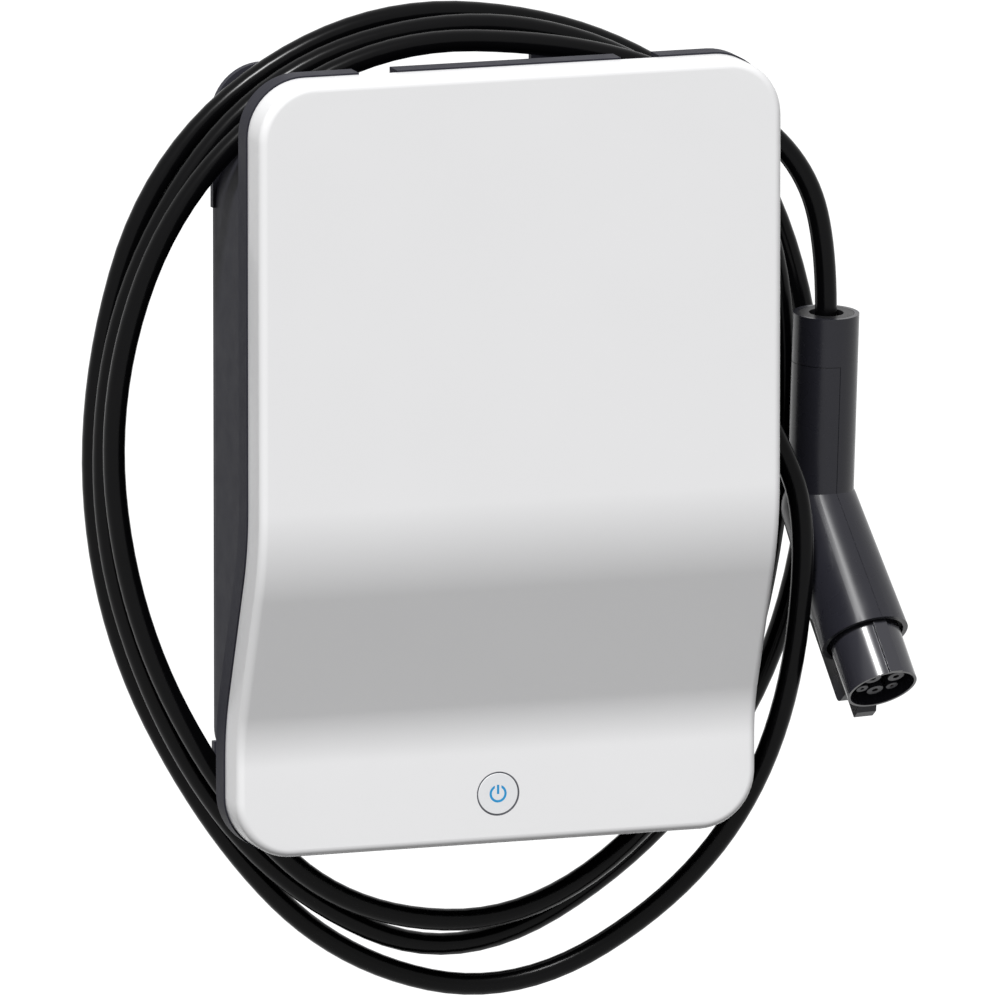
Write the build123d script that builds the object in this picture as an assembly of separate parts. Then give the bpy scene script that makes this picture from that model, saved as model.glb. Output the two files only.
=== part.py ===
from build123d import *
from math import atan2, cos, degrees, hypot, pi, radians, sin, tan
import os

# Wall-mounted car charging box with a wound charging cable and its hand-held connector.
# Millimetres. +X right, -Y out of the wall, +Z up. The wall is the plane Y = 0, and the
# origin is the centre of the four wall screws.

# Box, overall
box_width = 331.0
box_height = 480.0
box_depth = 170.0
wall = 3.0

# S-shaped front, seen from the side: the upper part stands forward, the lower part steps back
recess_depth = 45.0
lower_flat_height = 57.4
bend_angle = 21.0
upper_bend_radius = 156.0
lower_bend_radius = 89.0

# Front cover tray
cover_step = 1.0
cover_depth = 24.5
cover_corner_radius = 35.0
cover_edge_radius = 5.0

# Rim and tub of the rear housing
rim_depth = 14.5
rim_corner_radius = 36.0
groove_depth = 27.0
end_groove_depth = 32.0
body_upper_corner_radius = 70.0
body_lower_corner_radius = 26.0
notch_width = 24.0
notch_centre_x = 82.5
notch_depth = 6.0

# Wall plate with corner ears that keep the wound cable off the wall
plate_thickness = 5.0
ear_outset = 1.5
ear_top_inset = 16.0
ear_bottom_inset = 1.0
ear_corner_radius = 32.0
ear_width = 78.0
upper_ear_height = 87.0
lower_ear_height = 49.0
wall_screw_side_inset = 25.0
wall_screw_top_inset = 10.0
wall_screw_hole_radius = 3.2

# Seal, cover screws
seal_width = 1.6
seal_thickness = 1.2
cover_screw_side_inset = 14.5
cover_screw_end_inset = 18.0
cover_boss_radius = 4.6
cover_screw_radius = 2.0
cover_screw_head_radius = 4.0
cover_screw_head_height = 2.6
fit_gap = 0.3
press_gap = 0.03
plate_screw_x = 60.0
plate_screw_z = 120.0

# Start button
button_radius = 12.6
button_above_bottom = 32.0
button_ring_width = 0.7
button_cap_thickness = 2.4
button_stem_radius = 4.5
button_travel = 1.5
button_gap = 0.2
carrier_pocket_depth = 6.0
carrier_floor = 2.0
clip_thickness = 0.8
clip_width = 2.2
clip_groove_depth = 0.5
plunger_radius = 2.0
switch_size = 12.0
switch_height = 7.0
button_board_radius = 15.0
symbol_radius = 4.7
symbol_bar_height = 5.6
symbol_stroke = 1.4
symbol_depth = 0.8

# Inner equipment
chassis_side_gap = 17.5
chassis_end_gap = 27.0
chassis_thickness = 2.0
chassis_post_height = 8.0
chassis_post_radius = 5.5
chassis_post_side_inset = 18.0
chassis_post_end_inset = 16.0
screw_head_height = 2.4
screw_head_radius = 3.6
screw_shank_radius = 1.8
rail_end_gap = 18.0
rail_width = 35.0
rail_depth = 7.5
rail_gauge = 1.0
rail_height_share = 0.2
contactor_width = 54.0
contactor_x = -58.0
supply_module_width = 36.0
supply_module_x = 0.0
terminal_width = 6.2
terminal_count = 7
terminal_first_x = 40.0
module_height = 84.0
module_depth = 58.0
module_shoulder_depth = 36.0
module_nose_height = 45.0
terminal_height = 50.0
terminal_depth = 32.0
clip_foot_thickness = 3.0
clip_hook_reach = 1.5
board_width = 170.0
board_height = 120.0
board_thickness = 1.6
board_height_share = -0.26
board_post_length = 10.0
board_post_radius = 3.0
board_post_side_inset = 9.0
board_post_end_inset = 8.0

# What stands on the main board, from the board's middle; sizes are width, depth and height
relay_size = (18.0, 16.0, 28.0)
relay_side_inset = 29.0
relay_row_z = 34.0
relay_pitch = 22.0
relay_count = 3
transformer_size = (34.0, 22.0, 30.0)
transformer_x = 48.0
transformer_row_z = 26.0
processor_size = (28.0, 3.0, 28.0)
processor_x = -34.0
processor_row_z = -12.0
plug_size = (12.0, 10.0, 9.0)
plug_side_inset = 21.0
plug_row_z = -50.0
plug_pitch = 16.0
plug_count = 5
capacitor_x = 18.0
capacitor_row_z = -18.0
capacitor_pitch = 14.0
capacitor_count = 4
capacitor_radius = 5.0
capacitor_height = 20.0

# Cable and its outlet on the right side of the tub
cable_diameter = 13.5
cable_clearance = 0.15
cable_arc_share = 0.45
outlet_depth = 82.0
outlet_z = 83.0
outlet_angle = 60.0
outlet_boss_radius = 15.0
outlet_boss_length = 26.0
outlet_shank_length = 12.0
first_straight = 50.0
last_straight = 50.0
gland_thread_radius = 9.0
gland_hex_flats = 24.0
gland_hex_height = 4.0
gland_nut_radius = 12.0
gland_nut_height = 11.0
gland_nut_flats = 22.4
gland_nut_taper = 1.5
gland_bore_radius = 7.5
guard_length = 22.0
guard_root_radius = 10.0
guard_tip_radius = 8.4
guard_bore_depth = 12.0
guard_groove_count = 4
guard_groove_width = 1.5
guard_groove_depth = 1.0

# Supply entry in the underside
entry_corner_gap = 72.5
entry_rim_gap = 18.0
entry_bore_radius = 8.0
entry_thread_radius = 10.0
entry_hex_flats = 27.0
entry_hex_height = 5.0
entry_nut_radius = 13.5
entry_nut_height = 14.0
entry_nut_taper = 3.0
entry_locknut_height = 4.0

# Connector: straight grip, head turned forward, round nose with the contacts
grip_top = (232.3, -58.0, 60.6)
connector_turn = 9.0
grip_lean = 3.4
grip_radius = 20.1
grip_length = 121.5
grip_wall = 3.0
collar_length = 30.0
bush_inner_radius = 10.5
bush_length = 6.0
cable_end_depth = 16.0
seam_width = 0.5
seam_depth = 0.4
clamp_length = 12.0
clamp_slit = 1.0
clamp_ledge_width = 3.0
clamp_screw_side = 11.0
clamp_screw_seat = 7.0
clamp_screw_length = 13.0
clamp_screw_radius = 1.25
clamp_screw_head_radius = 2.2
clamp_screw_head_height = 1.6
head_angle = 42.2
elbow_radius = 23.6
head_radius = 27.2
head_length = 91.0
nose_radius = 21.85
nose_wall = 1.8
nose_reach = 35.0
nose_socket_start = 74.0
nose_flange_width = 1.3
nose_flange_thickness = 3.0
nose_recess = 5.0
key_width = 9.0
key_height = 1.2
contact_face_depth = 4.0
contact_tower_height = 14.0
power_tower_radius = 5.2
pilot_tower_radius = 3.8
power_bore_radius = 1.9
pilot_bore_radius = 1.15
contact_wall = 1.2
contact_mouth_depth = 1.5
contact_tail = 6.0
power_contact_across = 6.8
power_contact_side = 7.9
earth_contact_across = -8.6
pilot_contact_across = -5.2
pilot_contact_side = 10.2

# Latch lever on the outer side of the bend, between two cheeks
lever_width = 13.0
lever_thickness = 4.5
lever_low_radius = 27.4
lever_pivot_at = 58.0
lever_knuckle_radius = 3.2
lever_hook_at = 119.0
lever_end_at = 127.5
hook_low_radius = 23.0
hook_nose = 3.0
thumb_start = 14.0
thumb_length = 22.0
thumb_ramp = 6.0
thumb_height = 5.0
thumb_groove_count = 5
thumb_groove = 1.2
latch_angle = 5.0
lever_room = 0.6
slot_end_gap = 1.2
cheek_gap = 0.5
cheek_thickness = 6.0
cheek_start = 46.0
cheek_ramp = 6.0
cheek_end = 116.5
cheek_high_radius = 33.0
cheek_round = 4.0
pin_radius = 1.6
pin_running_gap = 0.05

# Handle screws
handle_screw_radius = 1.5
handle_screw_head_radius = 2.8
handle_screw_head_height = 2.0
handle_screw_length = 20.0
handle_screw_recess = 6.0
handle_boss_radius = 4.6
handle_screw_depths = (54.0, 103.0)
head_screw_at = 38.0

# Worked out from the sizes above
front_y = -box_depth
lower_front_y = front_y + recess_depth
bend_turn = radians(bend_angle)
bend_drop = (upper_bend_radius + lower_bend_radius) * (1 - cos(bend_turn))
slope_length = (recess_depth - bend_drop) / sin(bend_turn)
bend_end_z = lower_flat_height - box_height / 2
bend_start_z = bend_end_z + slope_length * cos(bend_turn)
bend_start_z += (upper_bend_radius + lower_bend_radius) * sin(bend_turn)
body_half_width = box_width / 2 - groove_depth
body_half_height = box_height / 2 - end_groove_depth
rim_back = cover_depth + rim_depth
ear_half_width = body_half_width + ear_outset
ear_inner_x = ear_half_width - ear_width
ear_top_z = box_height / 2 - ear_top_inset
ear_bottom_z = ear_bottom_inset - box_height / 2
upper_ear_bottom_z = ear_top_z - upper_ear_height
lower_ear_top_z = ear_bottom_z + lower_ear_height
wall_screw_spacing_x = 2 * (ear_half_width - wall_screw_side_inset)
wall_screw_spacing_z = 2 * (ear_top_z - wall_screw_top_inset)
cover_screw_x = box_width / 2 - cover_screw_side_inset
cover_screw_z = box_height / 2 - cover_screw_end_inset
button_z = button_above_bottom - box_height / 2
chassis_width = 2 * (body_half_width - wall - chassis_side_gap)
chassis_height = 2 * (body_half_height - wall - chassis_end_gap)
chassis_post_x = chassis_width / 2 - chassis_post_side_inset
chassis_post_z = chassis_height / 2 - chassis_post_end_inset
rail_length = chassis_width - 2 * rail_end_gap
rail_z = chassis_height * rail_height_share
board_z = chassis_height * board_height_share
board_post_x = board_width / 2 - board_post_side_inset
board_post_z = board_height / 2 - board_post_end_inset
relay_x = relay_side_inset - board_width / 2
plug_x = plug_side_inset - board_width / 2
outlet_y = front_y + outlet_depth
entry_x = body_half_width - body_lower_corner_radius - entry_corner_gap
entry_y = lower_front_y + rim_back + entry_rim_gap
cable_radius = cable_diameter / 2
back_inner_y = -plate_thickness - wall
chassis_back_y = back_inner_y - chassis_post_height
chassis_front_y = chassis_back_y - chassis_thickness
rail_front_y = chassis_front_y - rail_depth
carrier_floor_y = lower_front_y + wall + carrier_pocket_depth
carrier_back_y = carrier_floor_y + carrier_floor
clip_y = carrier_back_y + fit_gap
stem_end_y = clip_y + 2 * clip_thickness
switch_face_y = stem_end_y + button_travel + fit_gap
switch_back_y = switch_face_y + switch_height
button_board_back_y = switch_back_y + board_thickness
lever_pivot_radius = lever_low_radius + lever_thickness / 2
lever_high_radius = lever_low_radius + lever_thickness
grip_bore_radius = grip_radius - grip_wall
insert_radius = grip_bore_radius - fit_gap / 3
nose_end = head_length + nose_reach
tower_end = nose_end - contact_face_depth
insulator_end = tower_end - contact_tower_height
slot_half_width = lever_width / 2 + cheek_gap
gland_nut_start = outlet_boss_length + gland_hex_height
guard_start = gland_nut_start + gland_nut_height
guard_end = guard_start + guard_length

# Charging cable between its two straight ends: about three loose turns round the box. Each turn
# goes along the bottom, up the left side, over the top and down the right side.
cable_points = [
    (207, -101, -60), (194, -93, -190), (145, -64, -287),
    (38, -46, -352), (-69, -26, -325), (-146, -12, -241), (-212, -14, -113), (-224, -14, 29),
    (-171, -14, 170), (-52, -14, 257), (90, -14, 241), (198, -13, 170), (248, -11, 20),
    (226, -11, -152), (138, -20, -268), (7, -29, -335), (-110, -34, -276), (-184, -31, -172),
    (-224, -31, -40), (-207, -31, 103), (-121, -31, 222), (18, -31, 254), (147, -31, 209),
    (218, -25, 103), (219, -19, -65), (175, -34, -209), (58, -47, -305), (-66, -52, -295),
    (-146, -49, -221), (-208, -49, -101), (-223, -49, 35), (-175, -49, 164), (-58, -49, 243),
    (81, -49, 233), (172, -54, 194), (218, -61, 152),
]

os.makedirs("parts", exist_ok=True)


def save(shape, node):
    """Write one sub-part."""
    export_step(shape, f"parts/{node}.step")


# Helpers for the box
def prism(width, height, corner, y_back, y_front):
    """Rounded rectangle block, from y_back out to y_front."""
    plane = Plane((0, y_back, 0), x_dir=(1, 0, 0), z_dir=(0, -1, 0))
    return extrude(plane * RectangleRounded(width, height, corner), amount=y_back - y_front)


def body_prism(inset, y_back, y_front):
    """Outline of the tub, inset from its outside, from y_back out to y_front."""
    outline = Rectangle(2 * (body_half_width - inset), 2 * (body_half_height - inset))
    outline = fillet(outline.vertices().group_by(Axis.Y)[-1], body_upper_corner_radius - inset)
    outline = fillet(outline.vertices().group_by(Axis.Y)[0], body_lower_corner_radius - inset)
    plane = Plane((0, y_back, 0), x_dir=(1, 0, 0), z_dir=(0, -1, 0))
    return extrude(plane * outline, amount=y_back - y_front)


def behind_front(offset):
    """All that lies deeper than offset below the S-shaped front."""
    reach = box_height
    top = (front_y + offset, reach)
    start = (front_y + offset, bend_start_z)
    upper_centre = (front_y + upper_bend_radius, bend_start_z)
    lower_centre = (lower_front_y - lower_bend_radius, bend_end_z)
    upper = upper_bend_radius - offset
    lower = lower_bend_radius + offset

    def on_upper(turn):
        return (upper_centre[0] - upper * cos(turn), upper_centre[1] - upper * sin(turn))

    def on_lower(turn):
        return (lower_centre[0] + lower * cos(turn), lower_centre[1] + lower * sin(turn))

    bottom = (lower_front_y + offset, -reach)
    edges = [
        Line(top, start),
        ThreePointArc(start, on_upper(bend_turn / 2), on_upper(bend_turn)),
        Line(on_upper(bend_turn), on_lower(bend_turn)),
        ThreePointArc(on_lower(bend_turn), on_lower(bend_turn / 2), on_lower(0)),
        Line(on_lower(0), bottom),
        Line(bottom, (reach, -reach)),
        Line((reach, -reach), (reach, reach)),
        Line((reach, reach), top),
    ]
    return extrude(Plane.YZ * make_face(edges), amount=box_width, both=True)


def slab(near, far):
    """Layer between two depths below the front."""
    return behind_front(near) - behind_front(far)


def rod_y(x, z, radius, y_back, y_front):
    """Round rod along Y."""
    plane = Plane((x, y_back, z), x_dir=(1, 0, 0), z_dir=(0, -1, 0))
    return extrude(plane * Circle(radius), amount=y_back - y_front)


def block(x, y, z, width, depth, height):
    """Box by its centre."""
    return Pos(x, y, z) * Box(width, depth, height)


def plate_screw(x, z, seat_y, length):
    """Pan-head screw whose head sits on seat_y and points into the wall."""
    head = rod_y(x, z, screw_head_radius, seat_y, seat_y - screw_head_height)
    shank = rod_y(x, z, screw_shank_radius - press_gap, seat_y + length, seat_y)
    slot = block(x, seat_y - screw_head_height, z, 2 * screw_head_radius, screw_head_height, fit_gap * 3)
    return head + shank - slot


def corners(x, z):
    """The four corner points at plus and minus x and z."""
    return [(-x, -z), (x, -z), (-x, z), (x, z)]


# Wall plate
def make_wall_plate():
    body_outline = body_prism(0, 0, -plate_thickness)
    ears = prism(2 * ear_half_width, ear_top_z - ear_bottom_z, ear_corner_radius, 0, -plate_thickness)
    ears = Pos(0, 0, (ear_top_z + ear_bottom_z) / 2) * ears
    middle = -plate_thickness / 2
    ears -= block(0, middle, 0, 2 * ear_inner_x, 2 * plate_thickness, 2 * box_height)
    side_height = upper_ear_bottom_z - lower_ear_top_z
    side_z = (upper_ear_bottom_z + lower_ear_top_z) / 2
    ears -= block(0, middle, side_z, box_width, 2 * plate_thickness, side_height)
    plate = body_outline + ears
    for x, z in corners(wall_screw_spacing_x / 2, wall_screw_spacing_z / 2):
        plate -= rod_y(x, z, wall_screw_hole_radius, plate_thickness, -2 * plate_thickness)
    for x, z in corners(plate_screw_x, plate_screw_z):
        plate -= rod_y(x, z, screw_shank_radius, plate_thickness, -2 * plate_thickness)
    return plate


# Rear housing: a tub with a wider rim that follows the front
def outlet_frame(distance):
    """Plane across the cable outlet, its normal along the leaving cable."""
    turn = radians(outlet_angle)
    direction = Vector(cos(turn), 0, -sin(turn))
    start = Vector(body_half_width, outlet_y, outlet_z)
    return Plane(start + direction * distance, x_dir=(0, 1, 0), z_dir=direction)


def make_rear_housing():
    tub = body_prism(0, -plate_thickness, front_y) & behind_front(rim_back - wall)
    rim = prism(box_width, box_height, rim_corner_radius, 0, front_y) & slab(cover_depth, rim_back)
    rim_inside = prism(box_width - 2 * wall, box_height - 2 * wall, rim_corner_radius - wall, 0, front_y)
    rim -= rim_inside & slab(cover_depth - wall, rim_back - wall)
    pocket_width = notch_width + 2 * wall
    for x in (-notch_centre_x, notch_centre_x):
        pocket = block(x, -box_depth / 2, box_height / 2, pocket_width, box_depth, 2 * (notch_depth + wall))
        pocket &= prism(box_width, box_height, rim_corner_radius, 0, front_y)
        rim += pocket & slab(cover_depth, rim_back)
    housing = tub + rim
    for x in (-notch_centre_x, notch_centre_x):
        housing -= block(x, -box_depth / 2, box_height / 2, notch_width, 2 * box_depth, 2 * notch_depth)
    housing -= body_prism(wall, back_inner_y, 2 * front_y)
    for x, z in corners(chassis_post_x, chassis_post_z):
        post = rod_y(x, z, chassis_post_radius, back_inner_y, chassis_back_y)
        housing += post - rod_y(x, z, screw_shank_radius, back_inner_y, 2 * chassis_back_y)
    for x, z in corners(plate_screw_x, plate_screw_z):
        housing -= rod_y(x, z, screw_shank_radius + fit_gap, 0, 2 * back_inner_y)
    turn = radians(outlet_angle)
    boss_start = -(2 * wall + outlet_boss_radius * sin(turn)) / cos(turn)
    boss = outlet_rod(boss_start, outlet_boss_length - boss_start, outlet_boss_radius)
    outside_x = body_half_width - wall + box_width / 2
    housing += boss & block(outside_x, outlet_y, outlet_z, box_width, box_depth, box_height)
    housing -= outlet_rod(2 * boss_start, box_width / 2, gland_thread_radius + fit_gap)
    entry = Pos(entry_x, entry_y, -body_half_height) * Cylinder(entry_thread_radius + fit_gap, 4 * wall)
    housing -= entry
    for x, z in corners(cover_screw_x, cover_screw_z):
        housing -= rod_y(x, z, cover_screw_radius + fit_gap, 0, 2 * front_y)
    return housing


def cover_inside(depth_from, depth_to):
    """Hollow of the cover, between two depths below the front."""
    width = box_width - 2 * cover_step - 2 * wall
    height = box_height - 2 * cover_step - 2 * wall
    return prism(width, height, cover_corner_radius - wall, 0, front_y) & slab(depth_from, depth_to)


def seal_ring(thickness):
    """Flat ring on the rim, under the cover's edge."""
    outer = box_width / 2 - wall + seal_width
    inner = box_width / 2 - wall
    rise = (box_height - box_width) / 2
    ring = prism(2 * outer, 2 * (outer + rise), rim_corner_radius - wall + seal_width, 0, front_y)
    ring -= prism(2 * inner, 2 * (inner + rise), rim_corner_radius - wall, 0, front_y)
    return ring & slab(cover_depth - thickness, cover_depth)


def rim_floor_y(z):
    """Front face of the rim's back plate, on the flat parts of the front."""
    flat = front_y if z > bend_start_z else lower_front_y
    return flat + rim_back - wall


def make_front_cover():
    width = box_width - 2 * cover_step
    height = box_height - 2 * cover_step
    cover = prism(width, height, cover_corner_radius, 0, 2 * front_y) & slab(0, cover_depth)
    front_edges = [e for e in cover.edges() if e.center().Y < front_edge_limit(e.center().Z)]
    cover = fillet(front_edges, cover_edge_radius)
    cover -= cover_inside(wall, cover_depth + wall)
    cover -= seal_ring(seal_thickness)
    for x, z in corners(cover_screw_x, cover_screw_z):
        floor_y = rim_floor_y(z)
        inner_y = (front_y if z > 0 else lower_front_y) + wall / 2
        boss = rod_y(x, z, cover_boss_radius, floor_y, inner_y)
        cover += boss - rod_y(x, z, cover_screw_radius, floor_y, inner_y + wall + 2 * fit_gap)
    cover -= rod_y(0, button_z, button_radius + button_ring_width + button_gap, 0, 2 * front_y)
    return cover


def front_edge_limit(z):
    """Depth between the cover's front edge and its rear edge at this height."""
    share = min(max((bend_start_z - z) / (bend_start_z - bend_end_z), 0), 1)
    return front_y + recess_depth * share + cover_depth / 2


def make_cover_screws():
    screws = []
    for x, z in corners(cover_screw_x, cover_screw_z):
        seat_y = rim_floor_y(z) + wall
        head = rod_y(x, z, cover_screw_head_radius, seat_y + cover_screw_head_height, seat_y)
        shank = rod_y(x, z, cover_screw_radius - press_gap, seat_y, rim_floor_y(z) - cover_depth / 2)
        socket = rod_y(x, z, cover_screw_radius / 2, seat_y + 2 * cover_screw_head_height, seat_y + fit_gap)
        screws.append(head + shank - socket)
    return Compound(children=screws)


# Start button and what carries it
def make_power_button():
    cap = rod_y(0, button_z, button_radius, lower_front_y + button_cap_thickness, lower_front_y)
    rim_edges = [e for e in cap.edges() if abs(e.center().Y - lower_front_y) < fit_gap / 10]
    cap = chamfer(rim_edges, fit_gap)
    cap += rod_y(0, button_z, button_stem_radius, stem_end_y, lower_front_y + button_cap_thickness)
    groove = rod_y(0, button_z, 2 * button_stem_radius, clip_y + clip_thickness, clip_y)
    groove -= rod_y(0, button_z, button_stem_radius - clip_groove_depth, 0, lower_front_y)
    return cap - groove - make_button_symbol()


def make_button_symbol():
    """Ring with a gap and a bar, let into the button's face."""
    plane = Plane((0, lower_front_y, button_z), x_dir=(1, 0, 0), z_dir=(0, -1, 0))
    ring = Circle(symbol_radius + symbol_stroke / 2) - Circle(symbol_radius - symbol_stroke / 2)
    gap = Pos(0, symbol_radius) * Rectangle(3 * symbol_stroke, 2 * symbol_radius)
    bar_middle = symbol_radius + symbol_stroke / 2 - symbol_bar_height / 2
    bar = Pos(0, bar_middle) * Rectangle(symbol_stroke, symbol_bar_height)
    arc_part = extrude(plane * (ring - gap), amount=-symbol_depth)
    bar_part = extrude(plane * bar, amount=-symbol_depth)
    return Compound(children=[*arc_part.solids(), *bar_part.solids()])


def make_button_ring():
    outer = button_radius + button_gap + button_ring_width
    ring = rod_y(0, button_z, outer, lower_front_y + wall, lower_front_y)
    return ring - rod_y(0, button_z, button_radius + button_gap, 0, 2 * front_y)


def make_button_clip():
    """Retaining ring in the stem's groove."""
    ring = rod_y(0, button_z, button_stem_radius + clip_width, clip_y + clip_thickness, clip_y)
    inner = button_stem_radius - clip_groove_depth + fit_gap / 3
    ring -= rod_y(0, button_z, inner, 0, lower_front_y)
    reach = 2 * button_stem_radius
    return ring - block(0, clip_y, button_z - reach / 2, reach / 2, carrier_floor, reach)


def make_button_carrier():
    """Round socket behind the cover that guides the button and carries its switch."""
    seat_y = lower_front_y + wall
    outer = button_board_radius + wall
    socket = rod_y(0, button_z, outer, button_board_back_y, seat_y)
    socket -= rod_y(0, button_z, button_radius + button_gap, carrier_floor_y, 2 * front_y)
    socket -= rod_y(0, button_z, button_stem_radius + button_gap, 0, 2 * front_y)
    socket -= rod_y(0, button_z, button_radius, switch_back_y, carrier_back_y)
    return socket - rod_y(0, button_z, button_board_radius + press_gap, 0, switch_back_y)


def make_button_plunger():
    return rod_y(0, button_z, plunger_radius, switch_face_y + 2 * button_travel, stem_end_y)


def make_button_switch():
    middle_y = (switch_face_y + switch_back_y) / 2
    switch = block(0, middle_y, button_z, switch_size, switch_height, switch_size)
    bore_end = switch_back_y - switch_height / 8
    return switch - rod_y(0, button_z, plunger_radius + button_gap / 2, bore_end, 2 * front_y)


def make_button_board():
    board = rod_y(0, button_z, button_board_radius, button_board_back_y, switch_back_y)
    socket_y = button_board_back_y + wall / 2
    socket_z = button_z - button_board_radius / 2
    return board + block(0, socket_y, socket_z, switch_size, wall, 2 * wall)


# Equipment inside the tub
def make_chassis_plate():
    plate = prism(chassis_width, chassis_height, chassis_post_radius, chassis_back_y, chassis_front_y)
    for x, z in corners(chassis_post_x, chassis_post_z):
        plate -= rod_y(x, z, screw_shank_radius + fit_gap, 0, front_y)
    for x, z in corners(board_post_x, board_post_z):
        plate -= rod_y(x, board_z + z, screw_shank_radius + fit_gap, 0, front_y)
    return plate


def make_chassis_screws():
    length = chassis_thickness + chassis_post_height - fit_gap
    return Compound(children=[plate_screw(x, z, chassis_front_y, length)
                              for x, z in corners(chassis_post_x, chassis_post_z)])


def make_plate_screws():
    length = wall + plate_thickness - fit_gap
    return Compound(children=[plate_screw(x, z, back_inner_y, length)
                              for x, z in corners(plate_screw_x, plate_screw_z)])


def make_din_rail():
    """Top-hat rail along X."""
    half = rail_width / 2
    hat = half - rail_depth - rail_gauge / 2
    profile = [
        (0, half), (rail_gauge, half), (rail_gauge, hat), (rail_depth, hat), (rail_depth, -hat),
        (rail_gauge, -hat), (rail_gauge, -half), (0, -half), (0, rail_gauge - hat),
        (rail_depth - rail_gauge, rail_gauge - hat), (rail_depth - rail_gauge, hat - rail_gauge),
        (0, hat - rail_gauge),
    ]
    points = [(chassis_front_y - rail_depth + depth, rail_z + height) for depth, height in profile]
    face = Plane.YZ * make_face(Polyline(*points, close=True))
    return extrude(face, amount=rail_length / 2, both=True)


def side_profile(x, width, points):
    """Closed outline in depth and height, extruded along X about x."""
    face = Plane.YZ * make_face(Polyline(*points, close=True))
    return Pos(x, 0, 0) * extrude(face, amount=width / 2, both=True)


def rail_module(x, width, screw_count):
    """Stepped module that clips over the rail: wide base, narrower nose, screw wells."""
    shoulder = rail_front_y - module_shoulder_depth
    nose = rail_front_y - module_depth
    half = module_height / 2
    nose_half = module_nose_height / 2
    body = side_profile(x, width, [
        (rail_front_y, rail_z - half), (shoulder, rail_z - half), (shoulder, rail_z - nose_half),
        (nose, rail_z - nose_half), (nose, rail_z + nose_half), (shoulder, rail_z + nose_half),
        (shoulder, rail_z + half), (rail_front_y, rail_z + half),
    ])
    step = width / screw_count
    for i in range(screw_count):
        well_x = x - width / 2 + (i + 0.5) * step
        for side in (-1, 1):
            well_z = rail_z + side * (half + nose_half) / 2
            body -= rod_y(well_x, well_z, step / 4, shoulder + step / 2, 2 * nose)
    for side in (-1, 1):
        body += clip_foot(x, width / 2, side)
    return body


def clip_foot(x, width, side):
    """Foot beside the rail's brim, with a hook behind it."""
    inner = rail_width / 2 + fit_gap
    outer = inner + clip_foot_thickness
    hook_front = rail_front_y + rail_gauge + fit_gap
    end = chassis_front_y - rail_gauge
    outline = [
        (rail_front_y, inner), (hook_front, inner), (hook_front, inner - clip_hook_reach),
        (end, inner - clip_hook_reach), (end, outer), (rail_front_y, outer),
    ]
    return side_profile(x, width, [(depth, rail_z + side * height) for depth, height in outline])


def make_contactor():
    return rail_module(contactor_x, contactor_width, 3)


def make_supply_module():
    return rail_module(supply_module_x, supply_module_width, 2)


def make_terminal_block():
    """Row of clamps, side by side on the rail."""
    row = []
    middle_y = rail_front_y - terminal_depth / 2
    for i in range(terminal_count):
        x = terminal_first_x + i * terminal_width
        clamp = block(x, middle_y, rail_z, terminal_width - fit_gap, terminal_depth, terminal_height)
        for side in (-1, 1):
            z = rail_z + side * terminal_height / 4
            clamp -= rod_y(x, z, terminal_width / 4, middle_y, 2 * front_y)
            wire_z = rail_z + side * terminal_height / 2
            clamp -= block(x, middle_y, wire_z, terminal_width / 2, terminal_depth / 4, terminal_height / 4)
        row.append(clamp)
    return Compound(children=row)


def make_board_posts():
    posts = []
    end_y = chassis_front_y - board_post_length
    for x, z in corners(board_post_x, board_post_z):
        post = rod_y(x, board_z + z, board_post_radius, chassis_front_y, end_y)
        posts.append(post - rod_y(x, board_z + z, screw_shank_radius, 0, front_y))
    return Compound(children=posts)


def make_main_board():
    """Circuit board with its relays, transformer, capacitors, plugs and processor."""
    back = chassis_front_y - board_post_length
    front = back - board_thickness
    board = prism(board_width, board_height, board_post_radius, back, front)
    for x, z in corners(board_post_x, board_post_z):
        board -= rod_y(x, z, screw_shank_radius + fit_gap, 0, front_y)
    for i in range(relay_count):
        board += board_block(relay_x + i * relay_pitch, relay_row_z, relay_size, front)
    for i in range(plug_count):
        board += board_block(plug_x + i * plug_pitch, plug_row_z, plug_size, front)
    board += board_block(transformer_x, transformer_row_z, transformer_size, front)
    board += board_block(processor_x, processor_row_z, processor_size, front)
    for i in range(capacitor_count):
        x = capacitor_x + i * capacitor_pitch
        board += rod_y(x, capacitor_row_z, capacitor_radius, front, front - capacitor_height)
    return Pos(0, 0, board_z) * board


def board_block(x, z, size, front):
    """Component on the board's front, size as width, depth and height."""
    width, depth, height = size
    return block(x, front - depth / 2, z, width, depth, height)


def make_board_screws():
    seat = chassis_front_y - board_post_length - board_thickness
    return Compound(children=[plate_screw(x, board_z + z, seat, board_post_length / 2)
                              for x, z in corners(board_post_x, board_post_z)])


# Cable outlet
def outlet_rod(start, length, radius):
    """Round rod along the outlet's axis."""
    return extrude(outlet_frame(start) * Circle(radius), amount=length)


def make_outlet_gland():
    hexagon = RegularPolygon(gland_hex_flats / 2, 6, major_radius=False)
    body = extrude(outlet_frame(outlet_boss_length) * hexagon, amount=gland_hex_height)
    shank_end = outlet_boss_length - outlet_shank_length
    body += outlet_rod(shank_end, outlet_shank_length, gland_thread_radius)
    return body - outlet_rod(shank_end, guard_end, gland_bore_radius)


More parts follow.
